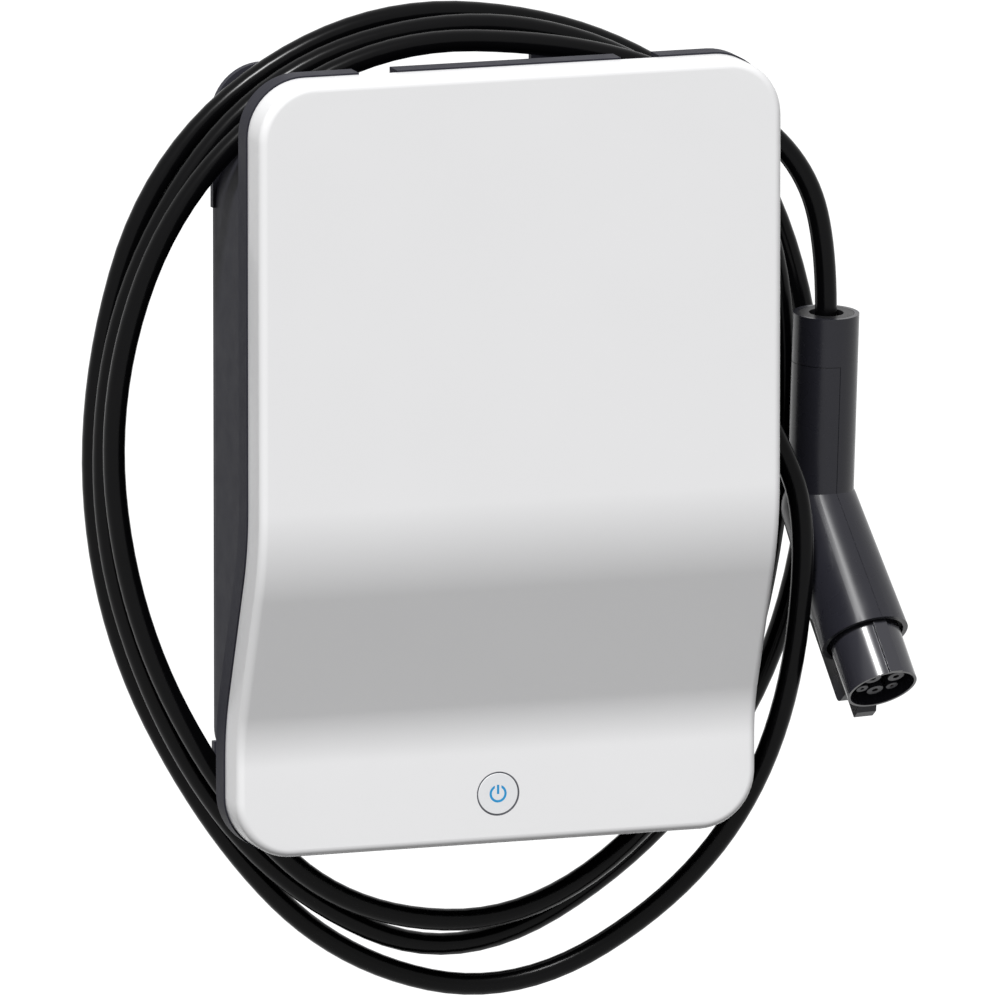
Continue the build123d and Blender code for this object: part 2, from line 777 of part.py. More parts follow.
def make_outlet_nut():
    """Dome nut: flats on its lower half, a tapered upper edge."""
    nut = outlet_rod(gland_nut_start, gland_nut_height, gland_nut_radius)
    along = Axis(outlet_frame(0).origin, outlet_frame(0).z_dir)
    nut = chamfer(nut.edges().group_by(along)[-1], gland_nut_taper)
    flats = RegularPolygon(gland_nut_flats / 2, 6, major_radius=False)
    lower = extrude(outlet_frame(gland_nut_start) * flats, amount=gland_nut_height / 2)
    upper = outlet_rod(gland_nut_start + gland_nut_height / 2, gland_nut_height, gland_nut_radius)
    nut &= lower + upper
    return nut - outlet_rod(gland_nut_start, gland_nut_height, gland_bore_radius)


def make_bend_guard():
    """Rubber sleeve that the cable leaves through, ringed so that it bends."""
    sleeve = loft([outlet_frame(guard_start) * Circle(guard_root_radius),
                   outlet_frame(guard_end) * Circle(guard_tip_radius)])
    pitch = guard_length / (guard_groove_count + 1)
    for i in range(guard_groove_count):
        start = guard_start + (i + 1) * pitch - guard_groove_width / 2
        core = outlet_rod(start, guard_groove_width, guard_tip_radius + fit_gap - guard_groove_depth)
        sleeve -= outlet_rod(start, guard_groove_width, 2 * guard_root_radius) - core
    return sleeve - outlet_rod(guard_end - guard_bore_depth, guard_length, cable_radius + cable_clearance)


# Supply entry
def make_entry_gland():
    low = -body_half_height
    hexagon = RegularPolygon(entry_hex_flats / 2, 6, major_radius=False)
    body = extrude(Plane((entry_x, entry_y, low), z_dir=(0, 0, -1)) * hexagon, amount=entry_hex_height)
    shank = wall + entry_locknut_height + wall / 2
    body += Pos(entry_x, entry_y, low + shank / 2) * Cylinder(entry_thread_radius, shank)
    return body - Pos(entry_x, entry_y, low) * Cylinder(entry_bore_radius, 4 * shank)


def make_entry_nut():
    top = -body_half_height - entry_hex_height
    nut = Pos(entry_x, entry_y, top - entry_nut_height / 2) * Cylinder(entry_nut_radius, entry_nut_height)
    nut = chamfer(nut.edges().sort_by(Axis.Z)[0], entry_nut_taper)
    return nut - Pos(entry_x, entry_y, top) * Cylinder(entry_bore_radius, 4 * entry_nut_height)


def make_entry_locknut():
    plane = Plane((entry_x, entry_y, wall - body_half_height), z_dir=(0, 0, 1))
    hexagon = RegularPolygon(entry_hex_flats / 2, 6, major_radius=False)
    nut = extrude(plane * hexagon, amount=entry_locknut_height)
    thread = Cylinder(entry_thread_radius + press_gap, 4 * entry_locknut_height)
    return nut - Pos(entry_x, entry_y, -body_half_height) * thread


# Connector, in its own frame: X forward, Z up along the grip, origin in the middle of the grip's top
turn = radians(connector_turn)
lean = radians(grip_lean)
grip_forward = Vector(sin(turn) * cos(lean), -cos(turn) * cos(lean), -sin(lean))
grip_up = Vector(sin(turn) * sin(lean), -cos(turn) * sin(lean), cos(lean))
connector_place = Plane(grip_top, x_dir=grip_forward, z_dir=grip_up).location
head_turn = radians(head_angle)
head_direction = Vector(sin(head_turn), 0, -cos(head_turn))
head_inward = Vector(cos(head_turn), 0, sin(head_turn))
elbow = Vector(0, 0, -grip_length)


def grip_rod(top, length, radius):
    """Round rod along the grip, from a depth below its top."""
    return Pos(0, 0, -top - length / 2) * Cylinder(radius, length)


def head_plane(distance):
    """Plane across the head, its X towards the hollow side of the bend."""
    return Plane(elbow + head_direction * distance, x_dir=head_inward, z_dir=head_direction)


def head_rod(start, length, radius, across=0, side=0):
    """Round rod along the head, off its axis by across and side."""
    return extrude(head_plane(start) * Pos(across, side) * Circle(radius), amount=length)


def back_profile(points, near, far):
    """Outline on the outer side of the bend, as distance along the head and height over its axis,
    between two distances to the side."""
    plane = Plane(elbow, x_dir=head_direction, z_dir=(0, 1, 0)).offset(near)
    return extrude(plane * make_face(Polyline(*points, close=True)), amount=far - near)


def latch_pin_rod(radius):
    centre = elbow + head_direction * lever_pivot_at - head_inward * lever_pivot_radius
    plane = Plane(centre, x_dir=head_direction, z_dir=(0, 1, 0))
    return extrude(plane * Circle(radius), amount=slot_half_width + cheek_thickness, both=True)


def handle_form(inset):
    """Grip, elbow and widening head as one form, inset from the outside."""
    grip = grip_rod(0, grip_length, grip_radius - inset)
    ball = Pos(*elbow) * Sphere(elbow_radius - inset)
    root = head_plane(0) * Circle(elbow_radius - inset)
    return grip + ball + loft([root, head_plane(head_length) * Circle(head_radius - inset)])


def cheek(side):
    """Guard beside the latch lever: holds the pin and runs on past the head."""
    low = head_radius - 2 * grip_wall
    outline = Polyline((cheek_start, low), (cheek_start + cheek_ramp, cheek_high_radius),
                       (cheek_end, cheek_high_radius), (cheek_end, low), close=True)
    face = make_face(outline)
    face = fillet(face.vertices().group_by(Axis.Y)[-1], cheek_round)
    plane = Plane(elbow, x_dir=head_direction, z_dir=(0, 1, 0)).offset(side * slot_half_width)
    guard = extrude(plane * face, amount=side * cheek_thickness)
    guard -= handle_form(grip_wall)
    return guard - head_rod(cheek_start, cheek_end, nose_radius + cheek_gap)


def latch_slot():
    """Channel under the lever, deep enough for its thumb end at full press."""
    start = thumb_start - slot_end_gap
    press = (lever_pivot_at - start) * tan(radians(latch_angle))
    floor = lever_low_radius - lever_room
    top = 2 * head_radius
    outline = [
        (start, floor - press), (lever_pivot_at, floor), (nose_end, floor), (nose_end, top), (start, top),
    ]
    return back_profile(outline, -slot_half_width, slot_half_width)


def shell_seam():
    """Groove where the half shells meet: down the middle plane, and round below the collar."""
    skin = handle_form(-seam_depth) - handle_form(seam_depth)
    size = 4 * head_length
    down = Pos(0, 0, -size / 2 - collar_length) * Box(size, seam_width, size)
    around = Pos(0, -size / 2, -collar_length) * Box(size, size, seam_width)
    return skin & (down + around)


def handle_screw_seats():
    """Where the three handle screws cross the middle plane."""
    seats = [Vector(0, 0, -depth) for depth in handle_screw_depths]
    return seats + [elbow + head_direction * head_screw_at]


def cross_rod(centre, radius, start, end):
    """Round rod across the handle, between two distances to the side."""
    plane = Plane(centre + Vector(0, start, 0), x_dir=(1, 0, 0), z_dir=(0, 1, 0))
    return extrude(plane * Circle(radius), amount=end - start)


def make_handle():
    """Both half shells, still as one."""
    shell = handle_form(0) - handle_form(grip_wall)
    socket_length = head_length - nose_recess - nose_socket_start
    shell += head_rod(nose_socket_start, socket_length, head_radius - grip_wall)
    shell += cheek(1) + cheek(-1)
    clamp_end = bush_length + clamp_length
    shell += grip_rod(clamp_end, grip_wall, grip_radius - grip_wall / 2)
    shell -= grip_rod(clamp_end, grip_wall, grip_bore_radius - clamp_ledge_width)
    seat = grip_radius - handle_screw_recess
    pilot_end = seat - handle_screw_length - fit_gap
    for centre in handle_screw_seats():
        boss = cross_rod(centre, handle_boss_radius, -head_radius, head_radius)
        shell += boss & handle_form(grip_wall / 2)
        shell -= cross_rod(centre, handle_screw_radius, pilot_end, seat)
        shell -= cross_rod(centre, handle_screw_radius + fit_gap, 0, seat)
        shell -= cross_rod(centre, handle_screw_head_radius + fit_gap, seat, 2 * grip_radius)
    shell -= head_rod(nose_socket_start, head_length, nose_radius + press_gap)
    return shell - shell_seam() - latch_slot() - latch_pin_rod(pin_radius + press_gap)


def make_grip_shells():
    """Left shell, and right shell with the whole collar above the left one."""
    shell = make_handle()
    size = 4 * head_length
    left_half = Pos(0, -size / 2, -size / 2 - collar_length) * Box(size, size, size)
    return shell & left_half, shell - left_half


def make_handle_screws():
    seat = grip_radius - handle_screw_recess
    head_end = seat + handle_screw_head_height
    screws = []
    for centre in handle_screw_seats():
        head = cross_rod(centre, handle_screw_head_radius, seat, head_end)
        shank = cross_rod(centre, handle_screw_radius - press_gap, seat - handle_screw_length, seat)
        socket = cross_rod(centre, handle_screw_radius / 2, seat + fit_gap, 2 * head_end)
        screws.append(head + shank - socket)
    return Compound(children=screws)


def make_collar_bush():
    return grip_rod(0, bush_length, insert_radius) - grip_rod(0, bush_length, bush_inner_radius)


def clamp_rod(side, radius, start, end):
    """Round rod along X through one side of the cable clamp."""
    centre = (start, side * clamp_screw_side, -bush_length - clamp_length / 2)
    return extrude(Plane(centre, x_dir=(0, 1, 0), z_dir=(1, 0, 0)) * Circle(radius), amount=end - start)


def make_clamp_half(facing):
    """One half of the clamp that grips the cable, front or rear."""
    half = grip_rod(bush_length, clamp_length, insert_radius)
    half -= grip_rod(bush_length, clamp_length, cable_radius + cable_clearance)
    size = 2 * grip_radius
    half &= Pos(facing * (size + clamp_slit) / 2, 0, -bush_length) * Box(size, size, size)
    hole_radius = clamp_screw_radius + (fit_gap if facing > 0 else 0)
    for side in (-1, 1):
        half -= clamp_rod(side, hole_radius, -clamp_screw_seat, clamp_screw_seat)
        half -= clamp_rod(side, clamp_screw_head_radius + fit_gap, clamp_screw_seat, grip_radius)
    return half


def make_clamp_front():
    return make_clamp_half(1)


def make_clamp_rear():
    return make_clamp_half(-1)


def make_clamp_screws():
    seat = clamp_screw_seat
    screws = []
    for side in (-1, 1):
        shank = clamp_rod(side, clamp_screw_radius - press_gap, seat - clamp_screw_length, seat)
        head = clamp_rod(side, clamp_screw_head_radius, seat, seat + clamp_screw_head_height)
        screws.append(shank + head)
    return Compound(children=screws)


def contact_places():
    """Two power contacts, the earth contact and two pilots, as across, side, tower and bore radius."""
    power = (power_tower_radius, power_bore_radius)
    pilot = (pilot_tower_radius, pilot_bore_radius)
    places = [(earth_contact_across, 0, *power)]
    for side in (-1, 1):
        places.append((power_contact_across, side * power_contact_side, *power))
        places.append((pilot_contact_across, side * pilot_contact_side, *pilot))
    return places


def make_nose_sleeve():
    """Round sleeve that enters the car's inlet, with a flange at its root and a key ridge."""
    flange_start = nose_socket_start - nose_flange_thickness
    nose = head_rod(flange_start, nose_end - flange_start, nose_radius)
    nose += head_rod(flange_start, nose_flange_thickness, nose_radius + nose_flange_width)
    nose -= head_rod(flange_start, nose_end, nose_radius - nose_wall)
    ridge_start = head_length - nose_recess
    low = nose_radius - nose_wall / 2
    high = nose_radius + key_height
    section = Pos((low + high) / 2, 0) * Rectangle(high - low, key_width)
    return nose + extrude(head_plane(ridge_start) * section, amount=nose_end - ridge_start)


def make_contact_insulator():
    base_radius = nose_radius - nose_wall - press_gap
    base = head_rod(nose_socket_start, insulator_end - nose_socket_start, base_radius)
    for across, side, tower, bore in contact_places():
        base += head_rod(insulator_end, contact_tower_height, tower, across, side)
    cavity = tower_end - contact_mouth_depth - nose_socket_start
    for across, side, tower, bore in contact_places():
        base -= head_rod(nose_socket_start, 2 * cavity, bore, across, side)
        base -= head_rod(nose_socket_start, cavity, bore + contact_wall + press_gap, across, side)
    return base


def make_contacts():
    """Brass sockets, pushed into the insulator from behind."""
    start = nose_socket_start - contact_tail
    end = tower_end - contact_mouth_depth - fit_gap
    contacts = []
    for across, side, tower, bore in contact_places():
        tube = head_rod(start, end - start, bore + contact_wall, across, side)
        contacts.append(tube - head_rod(nose_socket_start, end, bore, across, side))
    return Compound(children=contacts)


def make_latch_lever():
    """Long lever with a hook at the nose, a knuckle on the pin and a thumb pad near the elbow."""
    low = lever_low_radius
    high = lever_high_radius
    pad_end = thumb_start + thumb_length
    outline = [
        (thumb_start, low), (lever_hook_at, low), (lever_hook_at, hook_low_radius),
        (lever_end_at - hook_nose, hook_low_radius), (lever_end_at, hook_low_radius + hook_nose),
        (lever_end_at, high), (pad_end + thumb_ramp, high), (pad_end, high + thumb_height),
        (thumb_start, high + thumb_height),
    ]
    half = lever_width / 2
    lever = back_profile(outline, -half, half)
    across = [(thumb_start, 0), (lever_end_at, 0), (lever_end_at, 2 * high), (thumb_start, 2 * high)]
    lever += latch_pin_rod(lever_knuckle_radius) & back_profile(across, -half, half)
    pitch = thumb_length / thumb_groove_count
    for i in range(thumb_groove_count):
        at = thumb_start + (i + 0.5) * pitch
        floor = high + thumb_height - thumb_groove
        groove = [(at, floor), (at + thumb_groove, floor), (at + thumb_groove, 2 * high), (at, 2 * high)]
        lever -= back_profile(groove, -half, half)
    return lever - latch_pin_rod(pin_radius + pin_running_gap)


def make_latch_pin():
    return latch_pin_rod(pin_radius)


# Charging cable
def make_cable():
    start = outlet_frame(guard_end - guard_bore_depth)
    straight = outlet_frame(guard_end - guard_bore_depth + first_straight).origin
    end = Vector(*grip_top) - grip_up * cable_end_depth
    above = end + grip_up * last_straight
    points = [start.origin, straight] + [Vector(*point) for point in cable_points] + [above, end]
    radii = []
    for before, here, after in zip(points, points[1:], points[2:]):
        arriving = here - before
        leaving = after - here
        half_turn = radians(arriving.get_angle(leaving)) / 2
        radii.append(cable_arc_share * min(arriving.length, leaving.length) / tan(half_turn))
    path = FilletPolyline(*points, radius=radii)
    cable = sweep(start * Circle(cable_radius), path=path)
    section = pi * cable_radius ** 2
    print("cable radii", [round(radius) for radius in radii])
    print("cable length", round(path.length), "volume ratio", cable.volume / (section * path.length))
    return cable


# All sub-parts
box_parts = {
    "wall_plate": make_wall_plate,
    "rear_housing": make_rear_housing,
    "front_cover": make_front_cover,
    "cover_screws": make_cover_screws,
    "power_button": make_power_button,
    "button_symbol": make_button_symbol,
    "button_ring": make_button_ring,
    "button_clip": make_button_clip,
    "button_plunger": make_button_plunger,
    "button_carrier": make_button_carrier,
    "button_switch": make_button_switch,
    "button_board": make_button_board,
    "plate_screws": make_plate_screws,
    "chassis_plate": make_chassis_plate,
    "chassis_screws": make_chassis_screws,
    "din_rail": make_din_rail,
    "contactor": make_contactor,
    "supply_module": make_supply_module,
    "terminal_block": make_terminal_block,
    "board_posts": make_board_posts,
    "main_board": make_main_board,
    "board_screws": make_board_screws,
    "outlet_gland": make_outlet_gland,
    "outlet_nut": make_outlet_nut,
    "bend_guard": make_bend_guard,
    "entry_gland": make_entry_gland,
    "entry_nut": make_entry_nut,
    "entry_locknut": make_entry_locknut,
    "charging_cable": make_cable,
}
connector_parts = {
    "collar_bush": make_collar_bush,
    "cable_clamp_front": make_clamp_front,
    "cable_clamp_rear": make_clamp_rear,
    "clamp_screws": make_clamp_screws,
    "nose_sleeve": make_nose_sleeve,
    "contact_insulator": make_contact_insulator,
    "contacts": make_contacts,
    "latch_lever": make_latch_lever,
    "latch_pin": make_latch_pin,
    "handle_screws": make_handle_screws,
}

for node, make in box_parts.items():
    save(make(), node)
save(seal_ring(seal_thickness), "cover_seal")
for node, make in connector_parts.items():
    save(connector_place * make(), node)
left_shell, right_shell = make_grip_shells()
save(connector_place * left_shell, "grip_shell_left")
save(connector_place * right_shell, "grip_shell_right")
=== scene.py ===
"""Dressed model of a wall charging box with its wound cable and hand-held connector.

Metres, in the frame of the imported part: +X right, -Y out of the wall, +Z up.
"""

import logging
from dataclasses import dataclass, field
from enum import Enum
from math import cos, pi, radians, sin, sqrt
from typing import ClassVar, Sequence

import bmesh
import bpy
from mathutils import Matrix, Vector


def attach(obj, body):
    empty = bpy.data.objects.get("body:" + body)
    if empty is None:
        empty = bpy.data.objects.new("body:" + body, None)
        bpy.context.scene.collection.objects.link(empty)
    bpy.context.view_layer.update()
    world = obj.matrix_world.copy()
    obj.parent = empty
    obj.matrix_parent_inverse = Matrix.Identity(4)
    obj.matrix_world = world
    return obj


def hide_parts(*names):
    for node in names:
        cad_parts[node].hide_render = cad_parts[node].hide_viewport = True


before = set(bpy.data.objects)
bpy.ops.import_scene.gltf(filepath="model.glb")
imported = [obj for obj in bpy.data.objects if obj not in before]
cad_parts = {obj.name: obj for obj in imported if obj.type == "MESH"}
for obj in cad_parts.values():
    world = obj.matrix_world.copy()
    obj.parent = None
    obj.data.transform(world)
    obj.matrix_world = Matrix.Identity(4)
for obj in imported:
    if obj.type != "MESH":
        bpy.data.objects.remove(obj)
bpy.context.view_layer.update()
log = logging.getLogger("wallbox")

Point = tuple[float, float, float]
Colour = tuple[float, float, float]


class Body(Enum):
    """The rigid bodies that pieces ride on."""

    ROOT = "root"
    BUTTON = "button"
    LATCH = "latch"


class Given(Enum):
    """Kinds of named inputs of a pattern."""

    SIZE = "NodeSocketFloat"
    COUNT = "NodeSocketInt"
    DIRECTION = "NodeSocketVector"
    MATERIAL = "NodeSocketMaterial"


# Finishes
class Shader:
    """Small helper that adds and joins nodes of one material."""

    weakest: ClassVar[float] = 0.3
    strongest: ClassVar[float] = 0.7

    def __init__(self, name: str) -> None:
        """Starts a material that holds only a Principled shader.

        Args:
            name: the material's name.
        """
        self.material = bpy.data.materials.new(name)
        self.material.use_nodes = True
        self.tree = self.material.node_tree
        self.bsdf = self.tree.nodes["Principled BSDF"]
        self.place = self.add("ShaderNodeTexCoord").outputs["Object"]

    def add(self, kind: str, **settings: object) -> bpy.types.Node:
        """Adds a node.

        Args:
            kind: the node's type name.
            settings: properties, or values of sockets by name with _ for a space.

        Returns:
            The new node.
        """
        node = self.tree.nodes.new(kind)
        for key, value in settings.items():
            if hasattr(node, key):
                setattr(node, key, value)
            else:
                node.inputs[key.replace("_", " ")].default_value = value
        return node

    def join(self, source: bpy.types.NodeSocket, target: bpy.types.NodeSocket) -> None:
        """Links two sockets."""
        self.tree.links.new(source, target)

    def noise(self, scale: float, detail: float = 2.0, stretch: Point = (1, 1, 1)) -> bpy.types.NodeSocket:
        """Makes noise over the piece's own coordinates.

        Args:
            scale: features per metre.
            detail: octaves.
            stretch: factor on each axis.

        Returns:
            The noise value, about from weakest to strongest.
        """
        mapping = self.add("ShaderNodeMapping", Scale=stretch)
        self.join(self.place, mapping.inputs["Vector"])
        noise = self.add("ShaderNodeTexNoise", Scale=scale, Detail=detail)
        self.join(mapping.outputs["Vector"], noise.inputs["Vector"])
        return noise.outputs["Fac"]

    def between(self, value: bpy.types.NodeSocket, low: float, high: float) -> bpy.types.NodeSocket:
        """Maps a noise value to a range.

        Args:
            value: the noise.
            low: the result where the noise is weak.
            high: the result where the noise is strong.

        Returns:
            The mapped value.
        """
        ramp = self.add("ShaderNodeMapRange", From_Min=self.weakest, From_Max=self.strongest,
                        To_Min=low, To_Max=high)
        self.join(value, ramp.inputs["Value"])
        return ramp.outputs["Result"]

    def tint(self, value: bpy.types.NodeSocket, low: Colour, high: Colour) -> None:
        """Colours the surface between two tones by a noise value.

        Args:
            value: the noise.
            low: the tone where the noise is weak.
            high: the tone where the noise is strong.
        """
        mix = self.add("ShaderNodeMix", data_type="RGBA")
        self.join(self.between(value, 0.0, 1.0), mix.inputs["Factor"])
        tones = [socket for socket in mix.inputs if socket.type == "RGBA"]
        for socket, tone in zip(tones, (low, high)):
            socket.default_value = (*tone, 1)
        blended = [socket for socket in mix.outputs if socket.type == "RGBA"][0]
        self.join(blended, self.bsdf.inputs["Base Color"])

    def polish(self, value: bpy.types.NodeSocket, roughness: float, share: float) -> None:
        """Varies the roughness by a noise value.

        Args:
            value: the noise.
            roughness: the roughness in the middle of the range.
            share: how far it goes up and down, as a share of it.
        """
        varied = self.between(value, roughness * (1 - share), roughness * (1 + share))
        self.join(varied, self.bsdf.inputs["Roughness"])

    def bump(self, height: bpy.types.NodeSocket, depth: float) -> None:
        """Adds relief from a height.

        Args:
            height: the height value.
            depth: the relief in metres for a height of 1.
        """
        bump = self.add("ShaderNodeBump", Distance=depth)
        self.join(height, bump.inputs["Height"])
        self.join(bump.outputs["Normal"], self.bsdf.inputs["Normal"])


def linear_channel(value: int) -> float:
    """Turns one channel of a screen colour, 0 to 255, into a linear value."""
    share = value / 255
    return share / 12.92 if share <= 0.04045 else ((share + 0.055) / 1.055) ** 2.4


def linear(red: int, green: int, blue: int) -> Colour:
    """Turns a screen colour into a linear one."""
    return linear_channel(red), linear_channel(green), linear_channel(blue)


def shade(colour: Colour, factor: float) -> Colour:
    """Makes a colour lighter or darker."""
    return tuple(min(1.0, part * factor) for part in colour)


@dataclass(frozen=True)
class Finish:
    """Named finish of one of the record's material slots."""

    name: str
    slot: str
    colour: Colour

    def build(self) -> bpy.types.Material:
        """Returns the material, which each kind of finish makes in its own way."""
        raise NotImplementedError


@dataclass(frozen=True)
class Moulding(Finish):
    """Moulded plastic or rubber with a fine spark-eroded grain."""

    roughness: float = 0.4
    specular: float = 0.4
    coat: float = 0.0
    coat_roughness: float = 0.1
    grain_scale: float = 2500.0
    grain_depth: float = 0.00002
    wave_scale: float = 14.0
    mottle: float = 0.04
    polish_scale: float = 84.0
    polish: float = 0.07

    def build(self) -> bpy.types.Material:
        """Returns the material."""
        shader = Shader(self.name)
        wave = shader.noise(self.wave_scale, detail=3.0)
        shader.tint(wave, shade(self.colour, 1 - self.mottle), shade(self.colour, 1 + self.mottle))
        shader.polish(shader.noise(self.polish_scale, detail=4.0), self.roughness, self.polish)
        shader.bsdf.inputs["Specular IOR Level"].default_value = self.specular
        shader.bsdf.inputs["Coat Weight"].default_value = self.coat
        shader.bsdf.inputs["Coat Roughness"].default_value = self.coat_roughness
        shader.bump(shader.noise(self.grain_scale), self.grain_depth)
        return shader.material


@dataclass(frozen=True)
class Metal(Finish):
    """Plated, brushed or turned metal."""

    roughness: float = 0.3
    brush: Point = (1, 1, 1)
    grain_scale: float = 900.0
    grain_depth: float = 0.00001
    cloud_scale: float = 60.0
    darkest: float = 0.92
    lightest: float = 1.06
    polish: float = 0.2

    def build(self) -> bpy.types.Material:
        """Returns the material."""
        shader = Shader(self.name)
        cloud = shader.noise(self.cloud_scale, detail=3.0)
        shader.tint(cloud, shade(self.colour, self.darkest), shade(self.colour, self.lightest))
        shader.bsdf.inputs["Metallic"].default_value = 1.0
        brushed = shader.noise(self.grain_scale, detail=3.0, stretch=self.brush)
        shader.polish(brushed, self.roughness, self.polish)
        shader.bump(brushed, self.grain_depth)
        return shader.material


@dataclass(frozen=True)
class LitGuide(Finish):
    """Light guide that glows a little."""

    strength: float = 0.3
    cloud_scale: float = 300.0
    darkest: float = 0.9
    roughness: float = 0.35

    def build(self) -> bpy.types.Material:
        """Returns the material."""
        shader = Shader(self.name)
        shader.tint(shader.noise(self.cloud_scale), shade(self.colour, self.darkest), self.colour)
        shader.bsdf.inputs["Roughness"].default_value = self.roughness
        shader.bsdf.inputs["Emission Color"].default_value = (*self.colour, 1)
        shader.bsdf.inputs["Emission Strength"].default_value = self.strength
        return shader.material


@dataclass(frozen=True)
class Laminate(Finish):
    """Circuit board: solder resist over copper tracks."""

    track: Colour = (0.1, 0.2, 0.1)
    track_scale: float = 160.0
    track_width: float = 0.06
    track_height: float = 0.00003
    darkest: float = 0.9
    roughness: float = 0.35

    def build(self) -> bpy.types.Material:
        """Returns the material."""
        shader = Shader(self.name)
        cells = shader.add("ShaderNodeTexBrick", Scale=self.track_scale, Mortar_Size=self.track_width)
        cells.inputs["Color1"].default_value = (*self.colour, 1)
        cells.inputs["Color2"].default_value = (*shade(self.colour, self.darkest), 1)
        cells.inputs["Mortar"].default_value = (*self.track, 1)
        mapping = shader.add("ShaderNodeMapping", Rotation=(pi / 2, 0, 0))
        shader.join(shader.place, mapping.inputs["Vector"])
        shader.join(mapping.outputs["Vector"], cells.inputs["Vector"])
        shader.join(cells.outputs["Color"], shader.bsdf.inputs["Base Color"])
        shader.bsdf.inputs["Roughness"].default_value = self.roughness
        shader.bump(cells.outputs["Fac"], self.track_height)
        return shader.material


class Finishes:
    """All finishes of the object, each built once."""

    WHITE = Moulding("white_cover", "cover_white", linear(232, 232, 233), roughness=0.38, specular=0.45,
                     coat=0.25, grain_scale=1800.0, grain_depth=0.000006, mottle=0.006)
    HOUSING = Moulding("housing_grey", "housing_grey", linear(46, 46, 53), roughness=0.45, specular=0.03,
                       grain_depth=0.000012)
    PLATE = Moulding("plate_grey", "plate_grey", linear(48, 48, 55), roughness=0.5, specular=0.08,
                     grain_depth=0.000015)
    SEAL = Moulding("seal_black", "seal_black", linear(22, 22, 22), roughness=0.85, specular=0.2,
                    grain_depth=0.00005)
    JACKET = Moulding("cable_jacket", "cable_black", linear(6, 6, 7), roughness=0.22, specular=0.1,
                      grain_scale=1500.0, grain_depth=0.000001, mottle=0.15)
    GUARD = Moulding("guard_rubber", "cable_black", linear(14, 14, 15), roughness=0.5, specular=0.15)
    GRAPHITE = Moulding("connector_grey", "connector_grey", linear(33, 33, 39), roughness=0.28, specular=0.26,
                        grain_depth=0.000003)
    NOSE = Moulding("nose_grey", "nose_grey", linear(40, 40, 46), roughness=0.21, specular=0.5,
                    grain_depth=0.000002)
    CAP = Moulding("button_cap", "button_grey", linear(227, 228, 230), roughness=0.4, specular=0.45,
                   grain_depth=0.000008, mottle=0.01)
    RING = Moulding("button_ring", "ring_dark", linear(84, 85, 92), roughness=0.35, grain_depth=0.000005)
    POLYAMIDE = Moulding("gland_black", "gland_black", linear(22, 22, 24), roughness=0.42, specular=0.25)
    INSULATOR = Moulding("insulator_black", "insulator_black", linear(38, 38, 43), roughness=0.38,
                         specular=0.3)
    MODULE = Moulding("module_grey", "module_grey", linear(142, 144, 146), roughness=0.5, specular=0.45)
    SCREW = Metal("screw_zinc", "steel_screw", linear(168, 169, 172), roughness=0.32)
    SHEET = Metal("sheet_zinc", "sheet_steel", linear(180, 182, 184), roughness=0.4, brush=(1, 1, 12))
    BRASS = Metal("brass", "brass_contact", linear(201, 165, 82), roughness=0.25)
    BLUE = LitGuide("symbol_blue", "symbol_blue", linear(14, 132, 186), strength=0.2)
    BOARD = Laminate("board_green", "board_green", linear(31, 90, 54), track=linear(46, 116, 72))

    _built: ClassVar[dict[str, bpy.types.Material]] = {}

    @classmethod
    def of(cls, finish: Finish) -> bpy.types.Material:
        """Gives the material of a finish, built at its first use.

        Args:
            finish: the finish.

        Returns:
            Its material.
        """
        if finish.name not in cls._built:
            cls._built[finish.name] = finish.build()
        return cls._built[finish.name]


# Mesh helpers
def dress(piece: bpy.types.Object, finish: Finish) -> None:
    """Gives a piece one finish in all its slots.

    Args:
        piece: the piece.
        finish: the finish.
    """
    material = Finishes.of(finish)
    if not piece.data.materials:
        piece.data.materials.append(material)
    for index in range(len(piece.data.materials)):
        piece.data.materials[index] = material


def enter(piece: bpy.types.Object, finish: Finish, node: str, body: Body = Body.ROOT) -> str:
    """Dresses a new piece and tells the frame what it is.

    Args:
        piece: the finished piece.
        finish: its finish.
        node: the CAD node that it stands for.
        body: the body that it rides on.

    Returns:
        The piece's name.
    """
    dress(piece, finish)
    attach(piece, body.value)
    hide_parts(node)
    log.info("%s stands for %s, %d faces", piece.name, node, len(piece.data.polygons))
    return piece.name


def carry_over(nodes: Sequence[str], finish: Finish) -> list[str]:
    """Dresses CAD nodes whose form stays as it is.

    Args:
        nodes: the nodes.
        finish: their finish.

    Returns:
        The nodes' names.
    """
    for node in nodes:
        dress(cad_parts[node], finish)
    log.info("%s: %s", finish.name, ", ".join(nodes))
    return list(nodes)


def object_from(name: str, mesh: bpy.types.Mesh) -> bpy.types.Object:
    """Links a mesh into the scene as an object at the origin.

    Args:
        name: the object's name.
        mesh: its mesh.

    Returns:
        The object.
    """
    piece = bpy.data.objects.new(name, mesh)
    bpy.context.scene.collection.objects.link(piece)
    return piece


def bake(piece: bpy.types.Object) -> bpy.types.Object:
    """Turns a piece with its modifiers into a plain mesh piece of the same name.

    Args:
        piece: the piece, which is removed.

    Returns:
        The plain piece.
    """
    bpy.context.view_layer.update()
    graph = bpy.context.evaluated_depsgraph_get()
    mesh = bpy.data.meshes.new_from_object(piece.evaluated_get(graph), depsgraph=graph)
    name = piece.name
    bpy.data.objects.remove(piece)
    mesh.name = name
    return object_from(name, mesh)


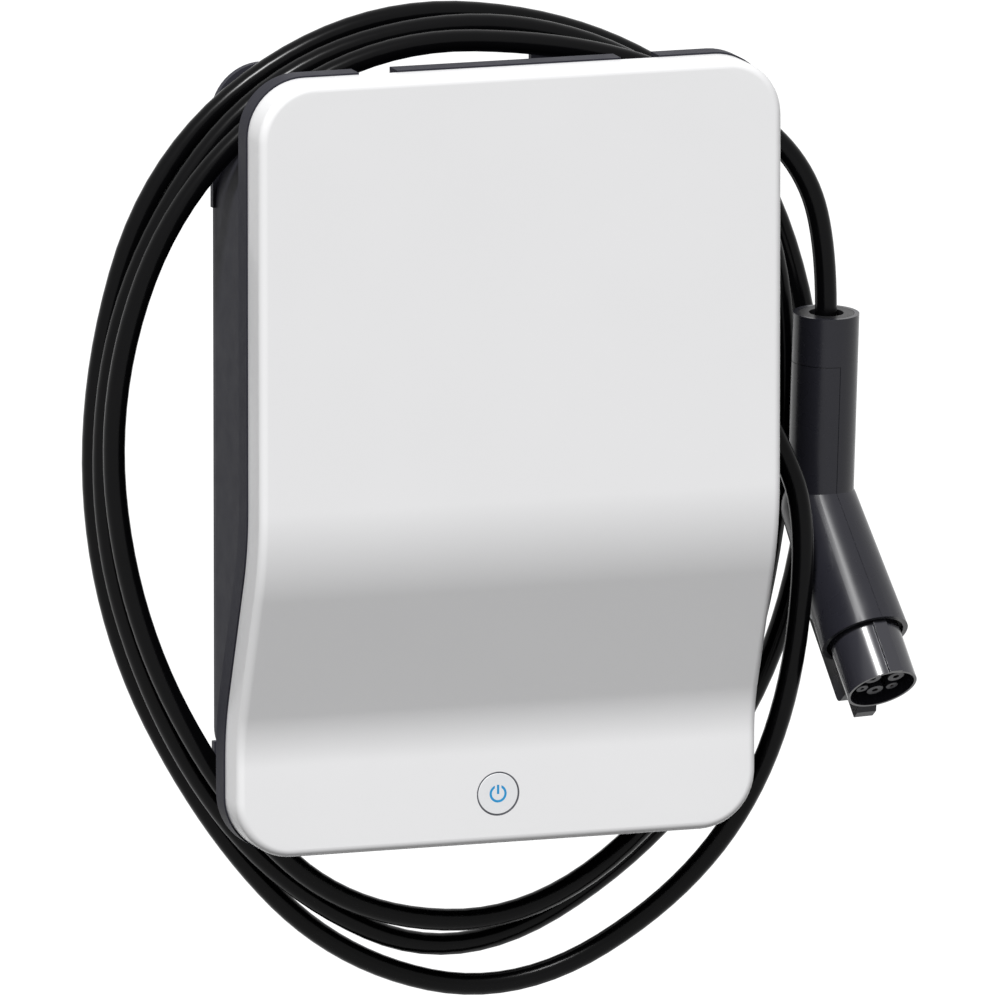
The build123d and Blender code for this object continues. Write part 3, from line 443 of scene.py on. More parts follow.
def soften(piece: bpy.types.Object, width: float, segments: int = 2, angle: float = 32.0) -> bpy.types.Object:
    """Rounds a piece's sharp edges a little and evens out its normals.

    Args:
        piece: the piece.
        width: the rounding's width, or 0 for none.
        segments: steps across the rounding.
        angle: edges sharper than this many degrees are rounded.

    Returns:
        The plain piece.
    """
    if width > 0:
        bevel = piece.modifiers.new("edge", "BEVEL")
        bevel.width = width
        bevel.segments = segments
        bevel.limit_method = "ANGLE"
        bevel.angle_limit = radians(angle)
        bevel.miter_outer = "MITER_ARC"
        bevel.use_clamp_overlap = True
    piece.data.shade_smooth()
    if width == 0:
        piece.data.set_sharp_from_angle(angle=radians(angle))
    normals = piece.modifiers.new("normals", "WEIGHTED_NORMAL")
    normals.mode = "FACE_AREA"
    normals.keep_sharp = True
    return bake(piece)


def refined(node: str, width: float, merge: float = 2e-6, flat: float = 0.2) -> bpy.types.Object:
    """Copies a CAD node's mesh, joins its loose triangles and rounds its edges.

    Args:
        node: the CAD node.
        width: width of the rounded edges.
        merge: distance under which points are joined.
        flat: degrees under which two triangles become one face.

    Returns:
        The copy, named after the node.
    """
    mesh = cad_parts[node].data.copy()
    work = bmesh.new()
    work.from_mesh(mesh)
    bmesh.ops.remove_doubles(work, verts=work.verts, dist=merge)
    bmesh.ops.dissolve_degenerate(work, edges=work.edges, dist=merge)
    bmesh.ops.dissolve_limit(work, angle_limit=radians(flat), verts=work.verts, edges=work.edges)
    work.to_mesh(mesh)
    work.free()
    if "custom_normal" in mesh.attributes:
        mesh.attributes.remove(mesh.attributes["custom_normal"])
    return soften(object_from(node + "_form", mesh), width)


class Pattern:
    """Geometry Nodes tree with named inputs, run once and turned into a plain mesh."""

    def __init__(self, name: str) -> None:
        """Starts a tree that takes a mesh and gives one.

        Args:
            name: the tree's name.
        """
        self.tree = bpy.data.node_groups.new(name, "GeometryNodeTree")
        self.tree.interface.new_socket("Places", in_out="INPUT", socket_type="NodeSocketGeometry")
        self.tree.interface.new_socket("Pieces", in_out="OUTPUT", socket_type="NodeSocketGeometry")
        self.entry = self.tree.nodes.new("NodeGroupInput")
        self.exit = self.tree.nodes.new("NodeGroupOutput")
        self.values: dict[str, object] = {}

    @property
    def places(self) -> bpy.types.NodeSocket:
        """The points that the pattern starts from."""
        return self.entry.outputs["Places"]

    def given(self, name: str, kind: Given, value: object) -> bpy.types.NodeSocket:
        """Adds a named input.

        Args:
            name: the input's name.
            kind: what it holds.
            value: what the modifier gives it.

        Returns:
            The input's socket inside the tree.
        """
        item = self.tree.interface.new_socket(name, in_out="INPUT", socket_type=kind.value)
        self.values[item.identifier] = value
        return self.entry.outputs[name]

    def add(self, kind: str, inputs: dict[str, object], **settings: object) -> bpy.types.Node:
        """Adds a node.

        Args:
            kind: the node's type name.
            inputs: sockets to link, or values to set, by the node's input names.
            settings: the node's properties.

        Returns:
            The new node.
        """
        node = self.tree.nodes.new(kind)
        for key, value in settings.items():
            setattr(node, key, value)
        for key, value in inputs.items():
            if isinstance(value, bpy.types.NodeSocket):
                self.tree.links.new(value, node.inputs[key])
            else:
                node.inputs[key].default_value = value
        return node

    def sum_of(self, first: object, second: object, operation: str) -> bpy.types.NodeSocket:
        """Works out one number from two.

        Args:
            first: a socket or number.
            second: a socket or number.
            operation: the sum, as Blender names it.

        Returns:
            The result.
        """
        node = self.add("ShaderNodeMath", {}, operation=operation)
        for socket, value in zip(node.inputs, (first, second)):
            if isinstance(value, bpy.types.NodeSocket):
                self.tree.links.new(value, socket)
            else:
                socket.default_value = value
        return node.outputs["Value"]

    def along(self, height: bpy.types.NodeSocket) -> bpy.types.NodeSocket:
        """Gives a vector of that height along Z."""
        return self.add("ShaderNodeCombineXYZ", {"Z": height}).outputs["Vector"]

    def rod(
        self, radius: object, start: object, end: object, sides: int = 48
    ) -> bpy.types.NodeSocket:
        """Makes a round rod along Z.

        Args:
            radius: its radius.
            start: the height of its lower end.
            end: the height of its upper end.
            sides: its number of sides.

        Returns:
            The rod.
        """
        depth = self.sum_of(end, start, "SUBTRACT")
        middle = self.sum_of(self.sum_of(end, start, "ADD"), 0.5, "MULTIPLY")
        rod = self.add("GeometryNodeMeshCylinder", {"Vertices": sides, "Radius": radius, "Depth": depth})
        placed = self.add("GeometryNodeTransform",
                          {"Geometry": rod.outputs["Mesh"], "Translation": self.along(middle)})
        return placed.outputs["Geometry"]

    def joined(self, parts: Sequence[bpy.types.NodeSocket]) -> bpy.types.NodeSocket:
        """Joins meshes.

        Args:
            parts: the meshes.

        Returns:
            The joined mesh.
        """
        node = self.add("GeometryNodeJoinGeometry", {})
        for part in parts:
            self.tree.links.new(part, node.inputs["Geometry"])
        return node.outputs["Geometry"]

    def turned(self, direction: bpy.types.NodeSocket) -> bpy.types.NodeSocket:
        """Gives the rotation that brings Z to a direction."""
        align = self.add("FunctionNodeAlignRotationToVector", {"Vector": direction}, axis="Z")
        return align.outputs["Rotation"]

    def run(
        self, name: str, points: Sequence[Point], result: bpy.types.NodeSocket, finish: Finish
    ) -> bpy.types.Object:
        """Closes the tree, runs it over points and gives the plain result.

        Args:
            name: the piece's name.
            points: the points that it starts from.
            result: the geometry to give out.
            finish: the finish of what it makes.

        Returns:
            The plain piece.
        """
        material = self.given("Finish", Given.MATERIAL, Finishes.of(finish))
        real = self.add("GeometryNodeRealizeInstances", {"Geometry": result}).outputs["Geometry"]
        dressed = self.add("GeometryNodeSetMaterial", {"Geometry": real, "Material": material})
        self.tree.links.new(dressed.outputs["Geometry"], self.exit.inputs["Pieces"])
        mesh = bpy.data.meshes.new(name)
        mesh.from_pydata(points, [], [])
        piece = object_from(name, mesh)
        modifier = piece.modifiers.new("pattern", "NODES")
        modifier.node_group = self.tree
        for identifier, value in self.values.items():
            modifier[identifier] = value
        return bake(piece)


@dataclass(frozen=True)
class ScrewSet:
    """Equal screws with a round head and a hexagon socket, each on its seat."""

    name: str
    node: str
    seats: tuple[Point, ...]
    outward: Point
    head_radius: float
    head_height: float
    shank_radius: float
    shank_length: float
    socket_radius: float
    socket_floor_share: float = 0.4
    socket_sides: int = 6
    shank_sides: int = 32
    edge: float = 0.0002

    def build(self) -> str:
        """Makes the screws.

        Returns:
            The piece's name.
        """
        pattern = Pattern(self.name + "_pattern")
        head_radius = pattern.given("Head radius", Given.SIZE, self.head_radius)
        head_height = pattern.given("Head height", Given.SIZE, self.head_height)
        shank_radius = pattern.given("Shank radius", Given.SIZE, self.shank_radius)
        shank_length = pattern.given("Shank length", Given.SIZE, self.shank_length)
        socket_radius = pattern.given("Socket radius", Given.SIZE, self.socket_radius)
        outward = pattern.given("Outward", Given.DIRECTION, self.outward)
        head = pattern.rod(head_radius, 0.0, head_height)
        socket_floor = pattern.sum_of(head_height, self.socket_floor_share, "MULTIPLY")
        above_head = pattern.sum_of(head_height, head_height, "ADD")
        socket = pattern.rod(socket_radius, socket_floor, above_head, self.socket_sides)
        hollow = pattern.add("GeometryNodeMeshBoolean", {"Mesh 1": head, "Mesh 2": socket},
                             operation="DIFFERENCE")
        shank_end = pattern.sum_of(0.0, shank_length, "SUBTRACT")
        shank = pattern.rod(shank_radius, shank_end, 0.0, self.shank_sides)
        screw = pattern.joined([hollow.outputs["Mesh"], shank])
        turn = pattern.turned(outward)
        set_out = pattern.add("GeometryNodeInstanceOnPoints",
                              {"Points": pattern.places, "Instance": screw, "Rotation": turn})
        piece = pattern.run(self.name, self.seats, set_out.outputs["Instances"], Finishes.SCREW)
        return enter(soften(piece, self.edge), Finishes.SCREW, self.node)


# The S-shaped front and the cover on it
@dataclass(frozen=True)
class SFront:
    """Side profile of the front: upper flat, two bends with a slope between, lower flat."""

    front: float = -0.170
    recess: float = 0.045
    start: float = -0.01996
    turn: float = radians(21.0)
    upper: float = 0.156
    lower: float = 0.089

    @property
    def low_front(self) -> float:
        """Depth of the lower flat."""
        return self.front + self.recess

    @property
    def end(self) -> float:
        """Height at which the lower flat starts."""
        radii = self.upper + self.lower
        slope = (self.recess - radii * (1 - cos(self.turn))) / sin(self.turn)
        return self.start - radii * sin(self.turn) - slope * cos(self.turn)

    def depth(self, z: float, offset: float) -> float:
        """Gives the depth of a surface behind the front.

        Args:
            z: the height.
            offset: how far the surface lies behind the front.

        Returns:
            Its Y at that height.
        """
        upper = self.upper - offset
        lower = self.lower + offset
        top_z = self.start - upper * sin(self.turn)
        if z >= self.start:
            return self.front + offset
        if z <= self.end:
            return self.low_front + offset
        if z >= top_z:
            return self.front + self.upper - sqrt(upper ** 2 - (self.start - z) ** 2)
        if z <= self.end + lower * sin(self.turn):
            return self.low_front - self.lower + sqrt(lower ** 2 - (z - self.end) ** 2)
        top_y = self.front + self.upper - upper * cos(self.turn)
        return top_y + (top_z - z) * sin(self.turn) / cos(self.turn)

    def rows(self, low: float, high: float, fine: float, coarse: float = 0.02) -> list[float]:
        """Gives heights between two limits, close together where the front bends.

        Args:
            low: the lowest.
            high: the highest.
            fine: the step in the bends.
            coarse: the step on the flats.

        Returns:
            The heights, from the lowest up.
        """
        lower_end = self.end + self.lower * sin(self.turn)
        upper_end = self.start - self.upper * sin(self.turn)
        marks = [low, self.end, lower_end, upper_end, self.start, high]
        rows: list[float] = []
        for a, b, step in zip(marks, marks[1:], (coarse, fine, coarse / 2, fine, coarse)):
            count = max(1, round((b - a) / step))
            rows += [a + (b - a) * i / count for i in range(count)]
        return rows + [high]


@dataclass(frozen=True)
class Station:
    """Point of the cover's front border, with its outward direction in X and Z."""

    x: float
    z: float
    out_x: float
    out_z: float


@dataclass
class FrontCover:
    """White tray with the S-shaped front, a round edge and the button's hole."""

    width: float = 0.329
    height: float = 0.478
    depth: float = 0.0245
    wall: float = 0.003
    corner: float = 0.035
    edge: float = 0.005
    lip: float = 0.0004
    button_height: float = -0.208
    button_hole: float = 0.0135
    columns: int = 24
    corner_steps: int = 14
    edge_steps: int = 8
    bend_step: float = 0.0022
    hole_sides: int = 96
    drill_length: float = 0.04
    front: SFront = field(default_factory=SFront)

    def right_side(self) -> list[Station]:
        """Works out the right border of the flat front, inside its round edge.

        Returns:
            One station for each row, from the bottom up.
        """
        half = self.width / 2 - self.edge
        tall = self.height / 2 - self.edge
        radius = self.corner - self.edge
        turns = [pi / 2 * i / self.corner_steps for i in range(self.corner_steps + 1)]
        low = [Station(half - radius + radius * sin(t), radius - tall - radius * cos(t), sin(t), -cos(t))
               for t in turns[:-1]]
        heights = self.front.rows(radius - tall, tall - radius, self.bend_step)
        side = [Station(half, z, 1.0, 0.0) for z in heights]
        high = [Station(half - radius + radius * cos(t), tall - radius + radius * sin(t), cos(t), sin(t))
                for t in turns[1:]]
        return low + side + high

    def spread(self, half: float) -> list[float]:
        """Gives the column places of a row of that half width."""
        return [half * (2 * i / self.columns - 1) for i in range(self.columns + 1)]

    def border(self) -> list[Station]:
        """Gives all stations round the front, from the lower left, once round to the right."""
        rows = self.right_side()
        bottom = [Station(x, rows[0].z, 0.0, -1.0) for x in self.spread(rows[0].x)]
        top = [Station(x, rows[-1].z, 0.0, 1.0) for x in reversed(self.spread(rows[-1].x))]
        left = [Station(-row.x, row.z, -row.out_x, row.out_z) for row in reversed(rows[1:-1])]
        return bottom + rows[1:-1] + top + left

    def sheet(self, work: bmesh.types.BMesh, offset: float) -> list[list[bmesh.types.BMVert]]:
        """Makes the points of one face of the front.

        Args:
            work: the mesh.
            offset: how far the face lies behind the front.

        Returns:
            The points, row by row.
        """
        return [[work.verts.new((x, self.front.depth(row.z, offset), row.z)) for x in self.spread(row.x)]
                for row in self.right_side()]

    def rim(self, grid: list[list[bmesh.types.BMVert]]) -> list[bmesh.types.BMVert]:
        """Gives the outermost points of a face, in the border's order.

        Args:
            grid: the face's points.

        Returns:
            The points of its rim.
        """
        right = [row[-1] for row in grid[1:-1]]
        left = [row[0] for row in reversed(grid[1:-1])]
        return grid[0] + right + list(reversed(grid[-1])) + left

    def loop(self, work: bmesh.types.BMesh, out: float, offset: float) -> list[bmesh.types.BMVert]:
        """Makes a loop of points round the cover.

        Args:
            work: the mesh.
            out: how far it lies outside the flat front's border.
            offset: how far it lies behind the front.

        Returns:
            The points.
        """
        loop = []
        for station in self.border():
            z = station.z + station.out_z * out
            loop.append(work.verts.new((station.x + station.out_x * out, self.front.depth(z, offset), z)))
        return loop

    def mesh(self) -> bpy.types.Mesh:
        """Makes the closed shell, without the button's hole.

        Returns:
            The mesh.
        """
        work = bmesh.new()
        outer = self.sheet(work, 0.0)
        inner = self.sheet(work, self.wall)
        loops = [self.rim(outer)]
        for i in range(1, self.edge_steps + 1):
            turn = pi / 2 * i / self.edge_steps
            loops.append(self.loop(work, self.edge * sin(turn), self.edge * (1 - cos(turn))))
        loops.append(self.loop(work, self.edge, self.depth - self.lip))
        loops.append(self.loop(work, self.edge - self.lip, self.depth))
        loops.append(self.loop(work, self.edge - self.wall, self.depth))
        loops.append(self.loop(work, self.edge - self.wall, self.wall))
        loops.append(self.rim(inner))
        for first, second in zip(loops, loops[1:]):
            for i in range(len(first)):
                j = (i + 1) % len(first)
                work.faces.new((first[i], first[j], second[j], second[i]))
        for grid in (outer, inner):
            for low, high in zip(grid, grid[1:]):
                for i in range(self.columns):
                    work.faces.new((low[i], low[i + 1], high[i + 1], high[i]))
        bmesh.ops.recalc_face_normals(work, faces=work.faces)
        mesh = bpy.data.meshes.new("front_cover_shell")
        work.to_mesh(mesh)
        work.free()
        return mesh

    def drill(self) -> bpy.types.Object:
        """Makes the round cutter for the button's hole.

        Returns:
            The cutter.
        """
        work = bmesh.new()
        bmesh.ops.create_cone(work, cap_ends=True, segments=self.hole_sides, radius1=self.button_hole,
                              radius2=self.button_hole, depth=self.drill_length)
        mesh = bpy.data.meshes.new("drill")
        work.to_mesh(mesh)
        work.free()
        place = Matrix.Translation((0, self.front.low_front, self.button_height))
        mesh.transform(place @ Matrix.Rotation(pi / 2, 4, "X"))
        return object_from("drill", mesh)

    def build(self) -> None:
        """Makes the cover and cuts the button's hole."""
        piece = object_from("front_cover_shell", self.mesh())
        cutter = self.drill()
        hole = piece.modifiers.new("hole", "BOOLEAN")
        hole.operation = "DIFFERENCE"
        hole.object = cutter
        hole.solver = "EXACT"
        piece = bake(piece)
        bpy.data.objects.remove(cutter)
        enter(soften(piece, 0), Finishes.WHITE, "front_cover")


# What stands behind and in the cover
@dataclass
class BoxShell:
    """Rear housing with its wide rim, wall plate, seal and the screws that close the box."""

    rounding: float = 0.0005
    screw_x: float = 0.151
    screw_z: float = 0.222
    upper_seat: float = -0.131
    lower_seat: float = -0.086

    def screws(self) -> ScrewSet:
        """Gives the four screws that hold the cover from behind."""
        seats = tuple((side * self.screw_x, seat, height)
                      for height, seat in ((self.screw_z, self.upper_seat), (-self.screw_z, self.lower_seat))
                      for side in (-1, 1))
        return ScrewSet("cover_screw_set", "cover_screws", seats, (0, 1, 0), head_radius=0.004,
                        head_height=0.0026, shank_radius=0.00197, shank_length=0.0152, socket_radius=0.0016)

    def build(self) -> None:
        """Makes the housing, the plate and the screws."""
        enter(refined("rear_housing", self.rounding), Finishes.HOUSING, "rear_housing")
        enter(refined("wall_plate", self.rounding), Finishes.PLATE, "wall_plate")
        self.screws().build()
        carry_over(["cover_seal"], Finishes.SEAL)
        carry_over(["plate_screws"], Finishes.SCREW)


@dataclass
class StartButton:
    """Round start button with its lit symbol, its dark ring and what carries it."""

    cap_rounding: float = 0.0001
    ring_rounding: float = 0.0001

    def build(self) -> None:
        """Makes the cap and the ring, and dresses what lies behind them."""
        enter(refined("power_button", self.cap_rounding), Finishes.CAP, "power_button", Body.BUTTON)
        enter(refined("button_ring", self.ring_rounding), Finishes.RING, "button_ring")
        carry_over(["button_symbol"], Finishes.BLUE)
        carry_over(["button_clip"], Finishes.SCREW)
        carry_over(["button_plunger", "button_carrier", "button_switch"], Finishes.INSULATOR)
        carry_over(["button_board"], Finishes.BOARD)


@dataclass
class InnerEquipment:
    """What stands inside the housing: mounting plate, rail, modules, clamps and board."""

    metal: tuple[str, ...] = ("chassis_plate", "din_rail")
    fixings: tuple[str, ...] = ("chassis_screws", "board_screws")
    modules: tuple[str, ...] = ("contactor", "supply_module", "terminal_block")

    def build(self) -> None:
        """Dresses the nodes."""
        carry_over(self.metal, Finishes.SHEET)
        carry_over(self.fixings, Finishes.SCREW)
        carry_over(self.modules, Finishes.MODULE)
        carry_over(["board_posts"], Finishes.BRASS)
        carry_over(["main_board"], Finishes.BOARD)


@dataclass
class CableOutlet:
    """Screwed gland on the right side, with the ringed rubber sleeve that the cable leaves through."""

    start: Point = (0.1385, -0.088, 0.083)
    angle: float = radians(60.0)
    rounding: float = 0.0003
    guard_start: float = 0.041
    guard_length: float = 0.022
    root_radius: float = 0.010
    tip_radius: float = 0.0084
    core_radius: float = 0.0077
    ring_count: int = 5
    groove_width: float = 0.0015

    def guard(self) -> str:
        """Makes the sleeve as a core with rings that get smaller towards its tip.

        Returns:
            The piece's name.
        """
        direction = Vector((cos(self.angle), 0, -sin(self.angle)))
        root = Vector(self.start) + direction * self.guard_start
        pattern = Pattern("bend_guard_pattern")
        count = pattern.given("Rings", Given.COUNT, self.ring_count)
        length = pattern.given("Length", Given.SIZE, self.guard_length)
        root_radius = pattern.given("Root radius", Given.SIZE, self.root_radius)
        tip_radius = pattern.given("Tip radius", Given.SIZE, self.tip_radius)
        core_radius = pattern.given("Core radius", Given.SIZE, self.core_radius)
        groove = pattern.given("Groove width", Given.SIZE, self.groove_width)
        outward = pattern.given("Outward", Given.DIRECTION, tuple(direction))
        pitch = pattern.sum_of(length, count, "DIVIDE")
        half_pitch = pattern.sum_of(pitch, 0.5, "MULTIPLY")
        line = pattern.add("GeometryNodeMeshLine", {
            "Count": count, "Start Location": pattern.along(half_pitch), "Offset": pattern.along(pitch)})
        index = pattern.add("GeometryNodeInputIndex", {}).outputs["Index"]
        share = pattern.sum_of(pattern.sum_of(index, 0.5, "ADD"), count, "DIVIDE")
        taper = pattern.sum_of(pattern.sum_of(tip_radius, root_radius, "SUBTRACT"), share, "MULTIPLY")
        radius = pattern.sum_of(root_radius, taper, "ADD")
        size = pattern.add("ShaderNodeCombineXYZ", {"X": radius, "Y": radius, "Z": 1.0}).outputs["Vector"]
        half_ring = pattern.sum_of(pattern.sum_of(pitch, groove, "SUBTRACT"), 0.5, "MULTIPLY")
        ring = pattern.rod(1.0, pattern.sum_of(0.0, half_ring, "SUBTRACT"), half_ring)
        rings = pattern.add("GeometryNodeInstanceOnPoints",
                            {"Points": line.outputs["Mesh"], "Instance": ring, "Scale": size})
        sleeve = pattern.joined([rings.outputs["Instances"], pattern.rod(core_radius, 0.0, length)])
        turn = pattern.turned(outward)
        placed = pattern.add("GeometryNodeInstanceOnPoints",
                             {"Points": pattern.places, "Instance": sleeve, "Rotation": turn})
        piece = pattern.run("bend_guard_sleeve", [tuple(root)], placed.outputs["Instances"], Finishes.GUARD)
        return enter(soften(piece, self.rounding), Finishes.GUARD, "bend_guard")

    def build(self) -> None:
        """Makes the gland, its nut and the sleeve."""
        for node in ("outlet_gland", "outlet_nut"):
            enter(refined(node, self.rounding), Finishes.POLYAMIDE, node)
        self.guard()


@dataclass
class SupplyEntry:
    """Gland in the underside for the supply cable."""

    rounding: float = 0.0003

    def build(self) -> None:
        """Makes the gland and its nut."""
        for node in ("entry_gland", "entry_nut"):
            enter(refined(node, self.rounding), Finishes.POLYAMIDE, node)
        carry_over(["entry_locknut"], Finishes.POLYAMIDE)


# Connector and cable
@dataclass
class Connector:
    """Hand-held connector: grip, bent head, nose with the contacts, and the latch lever."""

    grip_top: Point = (0.2323, -0.058, 0.0606)
    turn: float = radians(9.0)
    lean: float = radians(3.4)
    grip_length: float = 0.1215
    head_angle: float = radians(42.2)
    shell_rounding: float = 0.00025
    nose_rounding: float = 0.0002
    lever_rounding: float = 0.0005
    screw_depths: tuple[float, float] = (0.054, 0.103)
    head_screw_at: float = 0.038
    screw_seat: float = 0.0141

    def screws(self) -> ScrewSet:
        """Works out the three screws that hold the half shells together.

        Returns:
            The screws.
        """
        forward = Vector((sin(self.turn) * cos(self.lean), -cos(self.turn) * cos(self.lean), -sin(self.lean)))
        up = Vector((sin(self.turn) * sin(self.lean), -cos(self.turn) * sin(self.lean), cos(self.lean)))
        side = up.cross(forward)
        head = forward * sin(self.head_angle) - up * cos(self.head_angle)
        places = [up * -depth for depth in self.screw_depths]
        places.append(head * self.head_screw_at - up * self.grip_length)
        seats = tuple(tuple(Vector(self.grip_top) + place + side * self.screw_seat) for place in places)
        return ScrewSet("handle_screw_set", "handle_screws", seats, tuple(side), head_radius=0.0028,
                        head_height=0.002, shank_radius=0.00147, shank_length=0.020, socket_radius=0.0012)

    def build(self) -> list[str]:
        """Makes the connector.

        Returns:
            The names of its pieces.
        """
        names = []
        for node, rounding, finish in (
            ("grip_shell_left", self.shell_rounding, Finishes.GRAPHITE),
            ("grip_shell_right", self.shell_rounding, Finishes.GRAPHITE),
            ("nose_sleeve", self.nose_rounding, Finishes.NOSE),
            ("contact_insulator", self.nose_rounding, Finishes.INSULATOR),
            ("collar_bush", self.shell_rounding, Finishes.POLYAMIDE),
        ):
            names.append(enter(refined(node, rounding), finish, node))
        lever = refined("latch_lever", self.lever_rounding)
        names.append(enter(lever, Finishes.GRAPHITE, "latch_lever", Body.LATCH))
        names.append(self.screws().build())
        names += carry_over(["contacts"], Finishes.BRASS)
        names += carry_over(["latch_pin", "clamp_screws"], Finishes.SCREW)
        names += carry_over(["cable_clamp_front", "cable_clamp_rear"], Finishes.INSULATOR)
        return names


@dataclass
class ChargingCable:
    """Cable from the bend guard, about three loose turns round the box, into the grip."""

    diameter: float = 0.0135
    length: float = 4.84
    half_ring_steps: int = 8
    stretch_steps: int = 10
    outlet: Point = (0.164, -0.088, 0.038833)
    straight_end: Point = (0.189, -0.088, -0.004468)
    above_grip: Point = (0.232623, -0.059982, 0.094542)
    grip_end: Point = (0.232148, -0.057064, 0.044631)
    turns: tuple[Point, ...] = (
        (0.207, -0.101, -0.060), (0.194, -0.093, -0.190), (0.145, -0.064, -0.287),
        (0.038, -0.046, -0.352), (-0.069, -0.026, -0.325), (-0.146, -0.012, -0.241),
        (-0.212, -0.014, -0.113), (-0.224, -0.014, 0.029), (-0.179, -0.014, 0.177),
        (-0.052, -0.014, 0.257), (0.090, -0.014, 0.241), (0.198, -0.013, 0.170),
        (0.248, -0.011, 0.020), (0.226, -0.011, -0.152), (0.138, -0.020, -0.268),
        (0.007, -0.029, -0.335), (-0.110, -0.034, -0.276), (-0.184, -0.031, -0.172),
        (-0.224, -0.031, -0.040), (-0.207, -0.031, 0.103), (-0.121, -0.031, 0.222),
        (0.018, -0.031, 0.254), (0.147, -0.031, 0.209), (0.218, -0.025, 0.103),
        (0.219, -0.019, -0.065), (0.175, -0.034, -0.209), (0.058, -0.047, -0.305),
        (-0.066, -0.052, -0.295), (-0.146, -0.049, -0.221), (-0.208, -0.049, -0.101),
        (-0.223, -0.049, 0.035), (-0.175, -0.049, 0.164), (-0.058, -0.049, 0.243),
        (0.081, -0.049, 0.233), (0.172, -0.054, 0.194), (0.218, -0.061, 0.152),
    )

    def build(self, connector: Sequence[str]) -> None:
        """Args:
            connector: names of the pieces on its far end; not used.
        """
        curve = bpy.data.curves.new("charging_cable_line", "CURVE")
        curve.dimensions = "3D"
        curve.bevel_depth = self.diameter / 2
        curve.bevel_resolution = self.half_ring_steps
        curve.resolution_u = self.stretch_steps
        curve.use_fill_caps = True
        spline = curve.splines.new("NURBS")
        points = [self.outlet, self.straight_end, *self.turns, self.above_grip, self.grip_end]
        spline.points.add(len(points) - 1)
        for place, point in zip(points, spline.points):
            point.co = (*place, 1.0)
        spline.order_u = 3
        spline.use_endpoint_u = True
        piece = bpy.data.objects.new("charging_cable_jacket", curve)
        bpy.context.scene.collection.objects.link(piece)
        dress(piece, Finishes.JACKET)
        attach(piece, Body.ROOT.value)
        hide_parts("charging_cable")
        log.info("%s: %d points", piece.name, len(points))


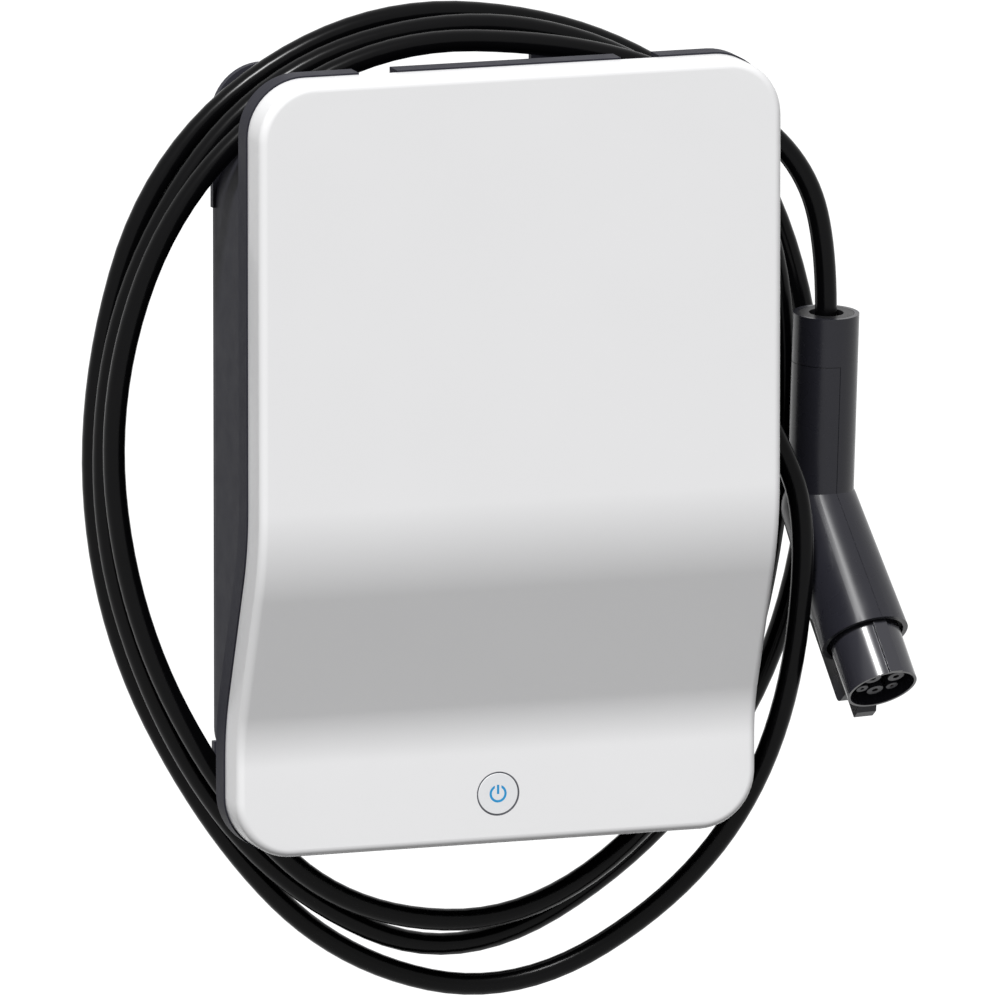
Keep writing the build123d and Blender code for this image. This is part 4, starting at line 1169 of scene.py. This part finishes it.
# Floor, light and camera
@dataclass
class Studio:
    """Pale floor, plain soft light and the photograph's viewpoint."""

    azimuth: float = radians(-18.863)
    elevation: float = radians(10.832)
    distance: float = 14.957
    right_of_origin: float = 0.04003
    above_origin: float = -0.04934
    wall_offset: float = -0.0046
    frame_width: float = 0.6035
    sensor_width: float = 36.0
    view_end: float = 100.0
    floor_height: float = -0.9
    floor_size: float = 60.0
    floor_roughness: float = 0.9
    floor_lit: float = 0.14
    floor_seen: float = 0.88
    world_lit: float = 0.18
    world_seen: float = 1.0
    key_energy: float = 4.4
    key_angle: float = radians(10.0)
    key_direction: Point = (0.28, 0.54, -0.79)

    def axes(self) -> tuple[Vector, Vector, Vector]:
        """Gives the camera's right, up and backward directions.

        Returns:
            The three directions.
        """
        a, e = self.azimuth, self.elevation
        right = Vector((cos(a), sin(a), 0))
        back = Vector((sin(a) * cos(e), -cos(a) * cos(e), sin(e)))
        return right, back.cross(right), back

    def camera(self) -> None:
        """Places the camera at the photograph's viewpoint."""
        right, up, back = self.axes()
        target = right * self.right_of_origin + up * self.above_origin + Vector((0, self.wall_offset, 0))
        data = bpy.data.cameras.new("camera")
        data.sensor_width = self.sensor_width
        data.lens = self.sensor_width * self.distance / self.frame_width
        data.clip_end = self.view_end
        camera = bpy.data.objects.new("camera", data)
        turn = Matrix((right, up, back)).transposed().to_4x4()
        camera.matrix_world = Matrix.Translation(target + back * self.distance) @ turn
        bpy.context.scene.collection.objects.link(camera)
        bpy.context.scene.camera = camera

    def seen_or_lit(self, tree: bpy.types.NodeTree, lit: float, seen: float) -> bpy.types.NodeSocket:
        """Makes one value for what is seen, mirrored or looked through, and one for what lights a piece.

        Args:
            tree: the node tree.
            lit: the value for light that falls on a piece.
            seen: the value for camera, glossy and transmission rays.

        Returns:
            The value.
        """
        path = tree.nodes.new("ShaderNodeLightPath")
        either = path.outputs["Is Camera Ray"]
        for name in ("Is Glossy Ray", "Is Transmission Ray"):
            larger = tree.nodes.new("ShaderNodeMath")
            larger.operation = "MAXIMUM"
            tree.links.new(either, larger.inputs[0])
            tree.links.new(path.outputs[name], larger.inputs[1])
            either = larger.outputs["Value"]
        blend = tree.nodes.new("ShaderNodeMapRange")
        blend.inputs["To Min"].default_value = lit
        blend.inputs["To Max"].default_value = seen
        tree.links.new(either, blend.inputs["Value"])
        return blend.outputs["Result"]

    def floor(self) -> None:
        """Lays the pale floor."""
        half = self.floor_size / 2
        mesh = bpy.data.meshes.new("floor")
        sides = ((-half, -half), (half, -half), (half, half), (-half, half))
        mesh.from_pydata([(x, y, self.floor_height) for x, y in sides], [], [(0, 1, 2, 3)])
        floor = object_from("floor", mesh)
        material = bpy.data.materials.new("floor")
        material.use_nodes = True
        bsdf = material.node_tree.nodes["Principled BSDF"]
        bsdf.inputs["Roughness"].default_value = self.floor_roughness
        bsdf.inputs["Specular IOR Level"].default_value = 0.0
        shown = self.seen_or_lit(material.node_tree, self.floor_lit, self.floor_seen)
        material.node_tree.links.new(shown, bsdf.inputs["Base Color"])
        floor.data.materials.append(material)

    def world(self) -> None:
        """Sets a soft even light that shows as white."""
        world = bpy.data.worlds.new("studio")
        bpy.context.scene.world = world
        world.use_nodes = True
        background = world.node_tree.nodes["Background"]
        background.inputs["Color"].default_value = (1, 1, 1, 1)
        shown = self.seen_or_lit(world.node_tree, self.world_lit, self.world_seen)
        world.node_tree.links.new(shown, background.inputs["Strength"])

    def key_light(self) -> None:
        """Adds the soft key light from above, in front and left."""
        data = bpy.data.lights.new("key", "SUN")
        data.energy = self.key_energy
        data.angle = self.key_angle
        lamp = bpy.data.objects.new("key", data)
        lamp.matrix_world = Vector(self.key_direction).to_track_quat("-Z", "Y").to_matrix().to_4x4()
        bpy.context.scene.collection.objects.link(lamp)

    def build(self) -> None:
        """Sets up the whole studio."""
        self.camera()
        self.floor()
        self.world()
        self.key_light()
        bpy.context.scene.view_settings.view_transform = "Standard"
        log.info("studio ready")


def main() -> None:
    """Builds the whole scene."""
    logging.basicConfig(level=logging.INFO, format="%(name)s %(message)s")
    Studio().build()
    connector = Connector().build()
    ChargingCable().build(connector)
    for group in (BoxShell(), FrontCover(), StartButton(), InnerEquipment(), CableOutlet(), SupplyEntry()):
        group.build()
        log.info("%s done", type(group).__name__)


if __name__ == "__main__":
    main()
